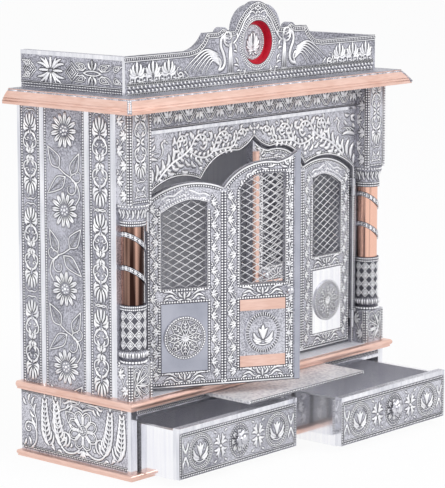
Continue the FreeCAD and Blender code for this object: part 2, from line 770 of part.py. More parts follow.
class Door:
    """One door, drawn from its hinge line: x to its free edge, y back from the pin."""

    def __init__(self, name, side, opening):
        self.name = name
        self.side = side
        self.opening = opening
        self.edge = size("door_edge_gap")
        self.face = size("door_face")
        self.rear = size("door_face") + size("door_board")
        self.panel_low = door_foot + size("lower_rail")
        self.panel_high = self.panel_low + size("lower_panel")
        self.sill = self.panel_high + size("lock_rail")

    def seen(self, outline):
        """The outline as this door has it, left or right hand."""
        return outline if self.side < 0 else mirrored(outline)

    def hung(self, item):
        """Sets a piece on the door's hinge, turned by how far the door stands open."""
        turn = FreeCAD.Rotation(FreeCAD.Vector(0, 0, self.side), 1)
        item.Placement = FreeCAD.Placement(FreeCAD.Vector(0, 0, 0), turn)
        bind(item, "Placement.Rotation.Angle", self.opening)
        bind(item, "Placement.Base.x", hinge_line * self.side)
        bind(item, "Placement.Base.y", front + size("hinge_setback"))
        return item

    def plate(self, label, y, *outlines):
        """A flat piece of the door between two depths."""
        return self.hung(extruded(label, "XZ_Plane", y, *[self.seen(outline) for outline in outlines]))

    def across(self, distance):
        """A distance from the hinge towards the free edge, as an x."""
        return as_size(distance) * -self.side

    def window_outlines(self):
        """The two lattice windows, outer and inner."""
        outer_left = size("door_stile")
        outer_right = outer_left + window_width
        inner_right = free_edge - size("door_stile")
        inner_left = inner_right - window_width
        inner_middle = (inner_left + inner_right) / 2
        inner_head = arch_spring + size("inner_window_lift")
        inner_top = inner_head + size("inner_window_rise")
        outer = [(outer_left, self.sill), (outer_left, arch_spring, size("outer_window_rise")),
                 (outer_right, arch_spring), (outer_right, self.sill)]
        inner = [(inner_left, self.sill), (inner_left, inner_head, size("inner_window_swell")),
                 (inner_middle, inner_top), (inner_right, inner_top), (inner_right, self.sill)]
        return outer, inner

    def leaf(self):
        """The board: arched outer half, ogee inner half and two windows."""
        drop = size("door_head_gap")
        head = [(self.edge, arch_spring - drop, size("lobe_rise")),
                (hinge_line - cusp_half, cusp_level - drop, size("shoulder_swell")),
                (hinge_line - size("ogee_half"), ogee_level - drop, -size("ogee_dip")),
                (free_edge, arch_peak - drop - size("door_edge_gap"))]
        outline = [(self.edge, door_foot)] + head + [(free_edge, door_foot)]
        node(self.plate(f"{self.name}_leaf", (self.face, self.rear), outline, *self.window_outlines()))

    def lattice(self):
        """The expanded-metal sheets in the two windows."""
        front_y = self.face + size("lattice_depth")
        span = (front_y, front_y + size("lattice_sheet"))
        sheets = []
        for place, outline in zip(("outer", "inner"), self.window_outlines()):
            blank = self.plate(f"{self.name}_{place}_sheet", span, outline)
            holes = doc.addObject("Part::Feature", f"{self.name}_{place}_holes")
            holes.Shape = lattice_holes(self.seen(outline), span)
            self.hung(holes)
            sheets.append(cut(f"{self.name}_{place}_lattice", blank, holes))
        node(grouped(f"{self.name}_lattices", *sheets))

    def face_plates(self):
        """The polished plate and copper plates set on the lower panels."""
        outer, inner = self.window_outlines()
        plate_front = self.face - size("plate_proud")
        span = (plate_front, self.face)
        outer_x = (outer[0][0], outer[2][0])
        inner_x = (inner[0][0], inner[3][0])
        plate_z = (self.panel_low, self.panel_high)
        copper_height = size("copper_plate_height")
        node(self.plate(f"{self.name}_mirror_plate", span, rectangle(outer_x, plate_z)))
        copper = []
        for place, level in (("low", plate_z[0]), ("high", plate_z[1] - copper_height)):
            copper.append(self.plate(f"{self.name}_copper_plate_{place}", span,
                                     rectangle(inner_x, (level, level + copper_height))))
        node(grouped(f"{self.name}_copper_plates", *copper))
        rosette_middle = (outer_x[0] + outer_x[1]) / 2
        oval_middle = (inner_x[0] + inner_x[1]) / 2
        plate_middle = (plate_z[0] + plate_z[1]) / 2
        node(self.plate(f"{self.name}_rosette", (plate_front - size("rosette_proud"), plate_front),
                        round_outline(rosette_middle, plate_middle, size("rosette_radius"), DISC_SIDES)))
        half_wide, half_high = size("oval_half_width"), size("oval_half_height")
        tips = [(oval_middle - half_wide, plate_middle), (oval_middle, plate_middle + half_high),
                (oval_middle + half_wide, plate_middle), (oval_middle, plate_middle - half_high)]
        oval = []
        for tip, next_tip in zip(tips, tips[1:] + tips[:1]):
            oval += swollen(tip, next_tip, size("oval_swell"), OVAL_STEPS)
        node(self.plate(f"{self.name}_medallion", (self.face - size("oval_proud"), self.face), oval))

    def knob(self):
        """The round pull near the free edge, a wide collar on a slim neck."""
        neck, radius = size("knob_neck"), size("knob_radius")
        stand = self.face - size("knob_stand")
        x = self.across(free_edge - size("knob_inset"))
        level = (self.panel_high + self.sill) / 2
        stem = extruded(f"{self.name}_knob_stem", "XZ_Plane", (stand - radius * 2, self.face),
                        round_outline(x, level, neck, KNOB_SIDES))
        collar = extruded(f"{self.name}_knob_collar", "XZ_Plane", (stand - radius * 1.5, stand - radius / 2),
                          round_outline(x, level, radius, KNOB_SIDES))
        node(self.hung(fused(f"{self.name}_knob", stem, collar)))

    def hinges(self):
        """The door's half of each hinge: a plate on its edge and an upper knuckle."""
        halves = []
        for place, middle in hinge_levels:
            level = middle + size("knuckle_gap") / 2
            z = (level, level + size("hinge_knuckle"))
            plate_x = sorted((self.across(self.edge - size("hinge_plate")), self.across(self.edge)),
                             key=lambda place_x: place_x.value)
            barrel = post(f"{self.name}_{place}_barrel", 0, 0, z, size("hinge_barrel"))
            strap = board(f"{self.name}_{place}_strap", plate_x, (0, size("hinge_plate_depth")), z)
            half = fused(f"{self.name}_{place}_hinge", barrel, strap)
            halves.append(self.hung(half))
        node(grouped(f"{self.name}_hinges", *halves))

    def astragal(self):
        """The copper half-round that covers the meeting edge, on the right door only."""
        edge_x = self.across(free_edge)
        plan = [(edge_x, self.face), (edge_x + size("astragal_width"), self.face, size("astragal_proud"))]
        strip = extruded(f"{self.name}_astragal", "XY_Plane",
                         (door_foot, ogee_level - size("door_head_gap")), plan)
        node(self.hung(strip))

    def build(self):
        """All the door's pieces."""
        self.leaf()
        self.lattice()
        self.face_plates()
        self.knob()
        self.hinges()
        if self.side > 0:
            self.astragal()


def lattice_holes(outline, span):
    """The diamond holes that turn a window's blank sheet into a lattice."""
    points = [(corner_parts(corner)[0].value, corner_parts(corner)[1].value) for corner in outline]
    low_x, high_x = min(point[0] for point in points), max(point[0] for point in points)
    low_z, high_z = min(point[1] for point in points), max(point[1] for point in points)
    wide, high = (size("lattice_pitch_wide") / 2).value, (size("lattice_pitch_high") / 2).value
    slant = math.hypot(wide, high)
    half_bar = size("lattice_bar").value / 2
    hole_wide = wide - half_bar * slant / high
    hole_high = hole_wide * high / wide
    depth = span[1].value - span[0].value
    middle_x = (low_x + high_x) / 2
    columns = math.ceil((high_x - low_x) / 2 / wide) + 1
    spare_rows = 2
    rows = math.ceil((high_z - low_z) / high) + spare_rows
    prisms = []
    for row in range(rows):
        for column in range(-columns, columns + 1):
            if (row + column) % 2:
                continue
            x, z = middle_x + column * wide, low_z + row * high
            corners = [(x - hole_wide, z), (x, z + hole_high), (x + hole_wide, z), (x, z - hole_high)]
            wire = Part.makePolygon([FreeCAD.Vector(u, span[0].value, v) for u, v in corners + corners[:1]])
            prisms.append(Part.Face(wire).extrude(FreeCAD.Vector(0, depth, 0)))
    return Part.makeCompound(prisms)


def build_fixed_hinges():
    """The jambs' halves of the hinges: a plate on the jamb and a lower knuckle."""
    halves = []
    pin_x, pin_y = hinge_line, front + size("hinge_setback")
    for place, middle in hinge_levels:
        level = middle - size("knuckle_gap") / 2
        z = (level - size("hinge_knuckle"), level)
        barrel = post(f"jamb_{place}_barrel", pin_x, pin_y, z, size("hinge_barrel"))
        strap = board(f"jamb_{place}_strap", (jamb - size("hinge_plate"), jamb),
                      (pin_y, pin_y + size("hinge_plate_depth")), z)
        half = fused(f"jamb_{place}_hinge", barrel, strap)
        halves += [half, other_side(half)]
    node(grouped("jamb_hinges", *halves))


class Drawer:
    """One drawer, drawn shut and then pulled out to where it rests."""

    def __init__(self, name, side, out):
        self.name = name
        self.side = side
        self.out = out

    def span(self, inner, outer):
        """The x span between a distance near the middle and one near the side."""
        if self.side > 0:
            return inner, outer
        return -outer, -inner

    def build(self):
        """The front, the box behind it and the flower pull."""
        opening = (size("divider_stile") / 2, side_inner)
        gap = size("drawer_gap")
        face = front - self.out
        front_back = face + size("drawer_front")
        front_x = self.span(opening[0] + gap, opening[1] - gap)
        front_z = (floor_top + gap, rail_low - gap)
        node(board(f"{self.name}_front", front_x, (face, front_back), front_z))
        side_gap = size("drawer_side_gap")
        wall, low = size("drawer_wall"), floor_top + size("drawer_run_gap")
        box_x = self.span(opening[0] + side_gap, opening[1] - side_gap)
        box_y = (front_back, face + size("drawer_depth"))
        box_z = (low, front_z[1] - size("drawer_box_drop"))
        block = board(f"{self.name}_block", box_x, box_y, box_z)
        hollow = board(f"{self.name}_hollow", (box_x[0] + wall, box_x[1] - wall), (box_y[0], box_y[1] - wall),
                       (low + size("drawer_bottom"), box_z[1]))
        node(cut(f"{self.name}_box", block, hollow))
        self.pull(face, (front_x[0] + front_x[1]) / 2, (front_z[0] + front_z[1]) / 2)

    def pull(self, face, middle, level):
        """The flower pull: a ring of petals and a stepped boss on a short neck."""
        neck, boss = size("pull_neck"), size("pull_boss")
        petals_back = face - size("pull_stand")
        petals_front = petals_back - size("pull_petal_board")
        tip = petals_back - size("pull_dome")
        petals = extruded(f"{self.name}_pull_petals", "XZ_Plane", (petals_front, petals_back),
                          petal_ring(middle, level, size("pull_valley"), size("pull_petal_rise"),
                                     PULL_PETALS, PETAL_STEPS))
        stem = extruded(f"{self.name}_pull_stem", "XZ_Plane", (tip, face),
                        round_outline(middle, level, neck, KNOB_SIDES))
        dome = extruded(f"{self.name}_pull_boss", "XZ_Plane", ((tip + petals_front) / 2, petals_front),
                        round_outline(middle, level, boss, KNOB_SIDES))
        node(fused(f"{self.name}_pull", petals, stem, dome))


def build_tray():
    """The pull-out tray and the runners that carry it under the shelf."""
    half = size("tray_half")
    tray_top = base_top - size("tray_top_gap")
    tray_low = tray_top - size("tray_board")
    face = front - size("tray_out")
    node(board("tray", (-half, half), (face, face + size("tray_depth")), (tray_low, tray_top)))
    cheek_in = half + size("tray_side_gap")
    cheek_out = cheek_in + size("runner_cheek")
    ledge_in = cheek_in - size("runner_ledge")
    ledge_top = tray_low - size("tray_run_gap")
    runner_low = ledge_top - size("runner_foot")
    runner = extruded("tray_runner", "XZ_Plane", (front + size("drawer_front"), back_inner),
                      [(ledge_in, runner_low), (ledge_in, ledge_top), (cheek_in, ledge_top), (cheek_in, base_top),
                       (cheek_out, base_top), (cheek_out, runner_low)])
    node_pair("tray_runners", runner)


def check_and_export():
    """Stops on any failed object or bad shape, then writes each sub-part."""
    doc.recompute()
    for item in doc.Objects:
        if {"Invalid", "Error"} & set(item.State):
            raise RuntimeError(f"{item.Label} failed: {item.State}")
    for item in nodes:
        if item.Shape.isNull() or not item.Shape.isValid() or item.Shape.Volume <= 0:
            raise RuntimeError(f"{item.Label} has a bad shape")
    os.makedirs("parts", exist_ok=True)
    for item in nodes:
        item.Shape.exportStep(f"parts/{item.Label}.step")
        print(item.Label, len(item.Shape.Solids), round(item.Shape.Volume / 1000, 1))
    print(len(nodes), "sub-parts")


build_base()
build_shelf()
build_cabinet()
build_front()
build_crown()
build_parapet()
build_pillars()
build_fixed_hinges()
Door("left_door", -1, size("left_door_angle")).build()
Door("right_door", 1, as_size(0)).build()
Drawer("left_drawer", -1, size("left_drawer_out")).build()
Drawer("right_drawer", 1, size("right_drawer_out")).build()
build_tray()
check_and_export()
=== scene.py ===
"""Dresses the home temple cabinet: its metal finishes, its embossed ornament and the studio round it.

Every face that carries ornament has a class here. It draws with a Pen, in millimetres on that face, and
the strokes and beads of one face become one mesh that rides on the cabinet's moving part. Places on a
face are complex numbers: the real part runs to the right, the imaginary part runs up.
"""
from __future__ import annotations

import cmath
import json
import logging
import math
from collections.abc import Callable, Sequence
from dataclasses import dataclass
from enum import Enum

import bpy
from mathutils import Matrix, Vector

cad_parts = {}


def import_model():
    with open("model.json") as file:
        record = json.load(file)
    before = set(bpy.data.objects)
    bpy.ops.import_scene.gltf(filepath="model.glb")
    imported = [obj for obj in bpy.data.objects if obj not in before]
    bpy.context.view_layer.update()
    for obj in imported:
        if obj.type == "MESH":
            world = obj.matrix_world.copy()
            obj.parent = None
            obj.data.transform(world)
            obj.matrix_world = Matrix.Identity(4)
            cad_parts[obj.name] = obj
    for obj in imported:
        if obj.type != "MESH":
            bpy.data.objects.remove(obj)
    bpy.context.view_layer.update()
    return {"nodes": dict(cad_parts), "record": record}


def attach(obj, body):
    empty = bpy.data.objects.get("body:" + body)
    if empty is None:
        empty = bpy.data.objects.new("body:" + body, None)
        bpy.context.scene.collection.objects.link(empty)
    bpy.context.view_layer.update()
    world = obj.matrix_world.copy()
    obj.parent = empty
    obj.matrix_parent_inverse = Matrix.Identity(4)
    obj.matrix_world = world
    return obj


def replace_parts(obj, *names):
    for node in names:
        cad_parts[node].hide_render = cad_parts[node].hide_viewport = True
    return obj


LOG = logging.getLogger("temple")
MM = 0.001
Path = list[complex]


def linear(hex_colour: str) -> tuple[float, float, float, float]:
    """Turns an sRGB hex colour into the linear values that a shader takes.

    Args:
        hex_colour: A colour such as "#c0c1c8".

    Returns:
        Linear red, green and blue, and an alpha of 1.
    """
    channels = [int(hex_colour[start:start + 2], 16) / 255 for start in (1, 3, 5)]
    red, green, blue = [c / 12.92 if c <= 0.04045 else ((c + 0.055) / 1.055) ** 2.4 for c in channels]
    return red, green, blue, 1.0


def add_node(tree: bpy.types.NodeTree, kind: str, links: dict | None = None, **settings) -> bpy.types.Node:
    """Adds a node with its settings and links.

    Args:
        tree: The node tree that gets the node.
        kind: Blender's name of the node type without ShaderNode.
        links: Input name or number to the socket, or the node's first socket, that feeds it.
        **settings: Node properties, or input values under the input's name in small letters.

    Returns:
        The new node.
    """
    node = tree.nodes.new("ShaderNode" + kind)
    for name, value in settings.items():
        if hasattr(node, name):
            setattr(node, name, value)
        else:
            node.inputs[name.replace("_", " ").title()].default_value = value
    for name, source in (links or {}).items():
        tree.links.new(
            source.outputs[0] if isinstance(source, bpy.types.Node) else source, node.inputs[name])
    return node


class Slot(Enum):
    """The record's material slots."""

    EMBOSSED = "embossed_aluminium"
    POLISHED = "polished_aluminium"
    PLAIN = "plain_sheet"
    COPPER = "copper_sheet"
    RED = "red_backing"
    PLATED = "plated_steel"


@dataclass(frozen=True)
class SheetMetal:
    """A metal sheet finish: colours, gloss and the scale of its surface texture.

    Attributes:
        name: The material's name.
        low: The colour in the hollows of the texture.
        high: The colour on its tops.
        roughness: How blurred the reflections are.
        grain: The texture's real spacing in millimetres.
        depth: The texture's real depth in millimetres.
        stretch: How far the grain is drawn out along each axis.
        spread: The sum of texture and slow tone that is all low colour, and the one that is all high.
        tone_size: The size in millimetres of slow changes of tone.
        metallic: 1 for bare metal, less where oxide or lacquer covers it.
        pitted: Whether the texture is one of round pits instead of soft grain.
    """

    name: str
    low: str
    high: str
    roughness: float
    grain: float
    depth: float
    stretch: tuple[float, float, float] = (1.0, 1.0, 1.0)
    spread: tuple[float, float] = (0.55, 1.25)
    tone_size: float = 60.0
    metallic: float = 1.0
    pitted: bool = False

    def material(self) -> bpy.types.Material:
        """Makes the material, once, and returns it.

        Returns:
            The material.
        """
        known = bpy.data.materials.get(self.name)
        if known:
            return known
        material = bpy.data.materials.new(self.name)
        material.use_nodes = True
        tree = material.node_tree
        tree.nodes.clear()
        place = add_node(tree, "TexCoord").outputs["Object"]
        stretched = add_node(tree, "Mapping", {"Vector": place}, Scale=self.stretch)
        spacing = 1 / (self.grain * MM)
        if self.pitted:
            grain = add_node(tree, "TexVoronoi", {"Vector": stretched}, Scale=spacing)
            texture = grain.outputs["Distance"]
        else:
            grain = add_node(tree, "TexNoise", {"Vector": stretched}, Scale=spacing, Detail=3.0)
            texture = grain.outputs[0]
        tone = add_node(tree, "TexNoise", {"Vector": place}, Scale=1 / (self.tone_size * MM), Detail=2.0)
        blend = add_node(tree, "Math", {0: texture, 1: tone}, operation="ADD")
        ramp = add_node(tree, "MapRange", {0: blend})
        ramp.inputs[1].default_value, ramp.inputs[2].default_value = self.spread
        colour = add_node(tree, "Mix", {0: ramp}, data_type="RGBA")
        colour.inputs[6].default_value = linear(self.low)
        colour.inputs[7].default_value = linear(self.high)
        bump = add_node(tree, "Bump", {"Height": texture}, Distance=self.depth * MM, Strength=1.0)
        shader = add_node(
            tree, "BsdfPrincipled", {"Base Color": colour.outputs[2], "Normal": bump.outputs[0]},
            Metallic=self.metallic, Roughness=self.roughness)
        add_node(tree, "OutputMaterial", {"Surface": shader})
        return material


class Finish(Enum):
    """The cabinet's finishes, each named for the real material and how its surface was made."""

    # Die-embossed aluminium, blackened and wiped: a stippled mid-grey ground that keeps oxide in its pits.
    GROUND = SheetMetal(
        "oxidised_embossed_aluminium", "#5a5a64", "#c4c4ce", 0.42, 2.4, 0.4, pitted=True, metallic=0.6)
    # The same sheet on the doors and the front, given a paler ground with softer pits.
    PALE_GROUND = SheetMetal(
        "wiped_embossed_aluminium", "#787882", "#d6d6de", 0.42, 2.4, 0.35, pitted=True, metallic=0.6)
    # The raised lines, rubbed bright: near white, so that every line reads against the ground.
    RAISED = SheetMetal(
        "rubbed_raised_aluminium", "#e8e8ee", "#ffffff", 0.34, 2.0, 0.05, tone_size=15, metallic=0.4)
    # Plain aluminium strip, buffed: pale and mirror-like with a slight drag along its length.
    POLISHED = SheetMetal(
        "buffed_aluminium", "#c6c8d2", "#f8f8fc", 0.1, 8.0, 0.005, (1.0, 1.0, 0.05), tone_size=90,
        metallic=0.9)
    # The drawers' side sheets, mirror-bright: they show the floor and whatever stands beside them.
    BRIGHT_SHEET = SheetMetal(
        "bright_rolled_aluminium", "#ececf4", "#ffffff", 0.08, 8.0, 0.005, (1.0, 1.0, 0.05), tone_size=90,
        metallic=0.9)
    # Chromed cast knobs and pulls: a grey colour with white patches a few millimetres wide, a painted
    # reflection with painted highlights.
    CHROME_PAINTED_REFLECTIONS = SheetMetal("chrome_with_painted_reflections", "#8a8a94", "#e4e4ea", 0.1, 5.0, 0.2, tone_size=7)
    # Mirror-polished aluminium plate with hardly any grain: its darker bluish grey colour is a painted
    # reflection of a dim surround.
    MIRROR_PAINTED_REFLECTION = SheetMetal("mirror_aluminium_painted_reflection", "#a2a5b2", "#b8bac6", 0.08, 30.0, 0.01)
    # Mill-finish aluminium sheet outside at the back: dull grey with rolling marks.
    PLAIN = SheetMetal(
        "mill_finish_aluminium", "#9c9ca4", "#bcbcc4", 0.36, 3.0, 0.03, (0.1, 1.0, 1.0), tone_size=120,
        metallic=0.7)
    # Satin aluminium foil inside the cabinet and the drawers: pale and soft, so that little light goes far.
    SATIN = SheetMetal(
        "satin_aluminium_foil", "#e2e2ea", "#f8f8fb", 0.22, 5.0, 0.01, (1.0, 1.0, 0.06), tone_size=60,
        metallic=0.75)
    # Brushed pale foil on the cabinet's inside: near white, with faint upright streaks.
    PALE_FOIL = SheetMetal(
        "brushed_pale_foil", "#e0e0e8", "#fafafd", 0.3, 5.0, 0.01, (1.0, 1.0, 0.05), tone_size=70,
        metallic=0.15)
    # Hammered aluminium on the tray: small bright dents.
    HAMMERED = SheetMetal(
        "hammered_aluminium", "#c8c8d0", "#ffffff", 0.3, 5.0, 0.5, pitted=True, tone_size=50, metallic=0.2)
    # Copper-coloured anodised sheet, satin: pale pink with soft highlights along the rounded edges.
    COPPER = SheetMetal(
        "satin_copper_sheet", "#dcb09f", "#f3d0c3", 0.3, 2.0, 0.02, (0.1, 0.1, 1.0), tone_size=70,
        metallic=0.8)
    # Copper sheet rolled round the shafts and polished: dark brown and pink streaks run up it, painted
    # reflections of the surround.
    COPPER_PAINTED_REFLECTION_STREAKS = SheetMetal(
        "copper_with_painted_reflection_streaks", "#2e1a15", "#f2c2ae", 0.1, 13.0, 0.01, (1.0, 1.0, 0.01), (0.87, 1.08),
        tone_size=400, metallic=0.9)
    # Expanded aluminium mesh: its thin bars catch the light.
    WIRE = SheetMetal("expanded_aluminium_mesh", "#eeeef2", "#ffffff", 0.3, 1.0, 0.03, metallic=0.2)
    # The dark band along each raised line and round each bead: near black, partly the oxide wash that stays
    # thickest in the hollows and partly painted shade at the foot of each ridge.
    OXIDE_AND_PAINTED_SHADE = SheetMetal("oxide_wash_and_painted_shade", "#3e3e46", "#66666f", 0.6, 2.0, 0.02, metallic=0.4)
    # Red enamel on board: flat gloss colour behind the medallion.
    RED = SheetMetal("red_enamelled_board", "#c01730", "#d62a42", 0.3, 2.0, 0.01, metallic=0.0)
    # Plated steel hinges: cool and bright.
    PLATED = SheetMetal("plated_hinge_steel", "#bfc0c6", "#dcdde2", 0.25, 2.0, 0.01)


def paint(item: bpy.types.Object, finish: Finish) -> None:
    """Gives every face of an object one finish."""
    item.data.materials.clear()
    item.data.materials.append(finish.value.material())


# Lines on a face

def level_line(low: float, high: float, level: float) -> Path:
    """A straight line across at one level."""
    return [complex(low, level), complex(high, level)]


def upright(across: float, low: float, high: float) -> Path:
    """A straight line up."""
    return [complex(across, low), complex(across, high)]


def arc(centre: complex, radius: float, start: float, end: float, steps: int) -> Path:
    """Part of a circle between two angles in degrees."""
    turn = math.radians(end - start) / steps
    return [centre + cmath.rect(radius, math.radians(start) + turn * step) for step in range(steps + 1)]


def bowed(start: complex, end: complex, rise: float, steps: int = 8) -> Path:
    """An arc from start to end that bulges to the left of its way by the rise.

    Args:
        start: Where it starts.
        end: Where it ends.
        rise: How far it bulges.
        steps: How many steps it is drawn in.

    Returns:
        The arc's points.
    """
    if not rise:
        return [start, end]
    chord = end - start
    radius = ((abs(chord) / 2) ** 2 + rise ** 2) / (2 * rise)
    centre = (start + end) / 2 - 1j * chord / abs(chord) * (radius - rise)
    sweep = cmath.phase((end - centre) / (start - centre)) / steps
    return [centre + (start - centre) * cmath.exp(1j * sweep * step) for step in range(steps + 1)]


def smooth(knots: Sequence[complex], steps: int = 5) -> Path:
    """A curve that runs smoothly through the knots.

    Args:
        knots: The points that it runs through.
        steps: How many steps lie between two knots.

    Returns:
        The curve's points.
    """
    ends = [2 * knots[0] - knots[1], *knots, 2 * knots[-1] - knots[-2]]
    path = []
    for index in range(len(knots) - 1):
        before, start, end, after = ends[index:index + 4]
        for step in range(steps):
            t = step / steps
            path.append(
                0.5 * (
                    2 * start + (end - before) * t + (2 * before - 5 * start + 4 * end - after) * t ** 2
                    + (3 * start - before - 3 * end + after) * t ** 3))
    return path + [knots[-1]]


def spiral(start: complex, centre: complex, turns: float, steps: int = 14, core: float = 0.16) -> Path:
    """A spiral from start in towards its centre; negative turns run clockwise.

    Args:
        start: Where it starts.
        centre: Its middle.
        turns: How often it winds.
        steps: How many steps it is drawn in.
        core: The share of the first radius at which it ends.

    Returns:
        The spiral's points.
    """
    shrink = 1 - core
    return [
        centre + (start - centre) * (1 - shrink * step / steps) * cmath.exp(
            2j * math.pi * turns * step / steps)
        for step in range(steps + 1)]


def along(path: Sequence[complex], pitch: float) -> Path:
    """Points evenly spaced along a path, as near the pitch as divides it.

    Args:
        path: The line to follow.
        pitch: The distance from one to the next.

    Returns:
        The points.
    """
    lengths = [abs(end - start) for start, end in zip(path, path[1:])]
    total = sum(lengths)
    count = max(1, round(total / pitch))
    points, leg, passed = [], 0, 0.0
    for index in range(count + 1):
        goal = total * index / count
        while leg < len(lengths) - 1 and passed + lengths[leg] < goal:
            passed += lengths[leg]
            leg += 1
        share = (goal - passed) / lengths[leg] if lengths[leg] else 0
        points.append(path[leg] + (path[leg + 1] - path[leg]) * min(share, 1))
    return points


def beside(path: Sequence[complex], distance: float) -> Path:
    """The path moved to the left of its way.

    Args:
        path: The line to follow.
        distance: How far to the left.

    Returns:
        The moved path.
    """
    moved = []
    for index, place in enumerate(path):
        way = path[min(index + 1, len(path) - 1)] - path[max(index - 1, 0)]
        moved.append(place + 1j * way / (abs(way) or 1) * distance)
    return moved


def trough(low: float, high: float, top: float, foot: float) -> Path:
    """An outline open at its top: down its left side, across and up its right side."""
    return [complex(low, top), complex(low, foot), complex(high, foot), complex(high, top)]


def box_path(low: complex, high: complex) -> Path:
    """The closed outline of a rectangle."""
    return [low, complex(high.real, low.imag), high, complex(low.real, high.imag), low]


class Taper(Enum):
    """How a raised line's width runs from its start to its end."""

    EVEN = "even"
    LEAF = "leaf"
    TAIL = "tail"
    PETAL = "petal"

    def share(self, t: float) -> float:
        """The share of the full width at a place from 0 to 1.

        Args:
            t: The place, from 0 at the start to 1 at the end.

        Returns:
            The share.
        """
        if self is Taper.EVEN:
            return 1.0
        if self is Taper.LEAF:
            return max(0.0, math.sin(math.pi * t)) ** 0.75
        if self is Taper.TAIL:
            return (1 - t) ** 0.6
        return max(0.0, math.sin(math.pi * t ** 1.6)) ** 0.8


FRONT = Vector((1, 0, 0))
LEFT = Vector((0, -1, 0))
RIGHT = Vector((0, 1, 0))


@dataclass(frozen=True)
class Sheet:
    """A flat face to emboss: a place on it, and which way is right and up."""

    origin: Vector
    right: Vector
    up: Vector = Vector((0, 0, 1))

    def at(self, place: complex, rise: float) -> Vector:
        """Where a place on the face lies, in metres."""
        out = self.right.cross(self.up)
        return (self.origin + self.right * place.real + self.up * place.imag + out * rise) * MM


def front_sheet(depth: float) -> Sheet:
    """The face that looks to the front at a distance along Y."""
    return Sheet(Vector((0, depth, 0)), FRONT)


@dataclass(frozen=True)
class Column:
    """A turned face: right runs round it from its front, up runs along it."""

    axis: Vector
    radius: Callable[[float], float]
    mean: float

    def at(self, place: complex, rise: float) -> Vector:
        """Where a place on the face lies, in metres.

        Args:
            place: The place on the face.
            rise: How far it stands out.

        Returns:
            The point.
        """
        angle = place.real / self.mean
        reach = self.radius(place.imag) + rise
        return Vector(
            (self.axis.x + reach * math.sin(angle), self.axis.y - reach * math.cos(angle), place.imag)) * MM


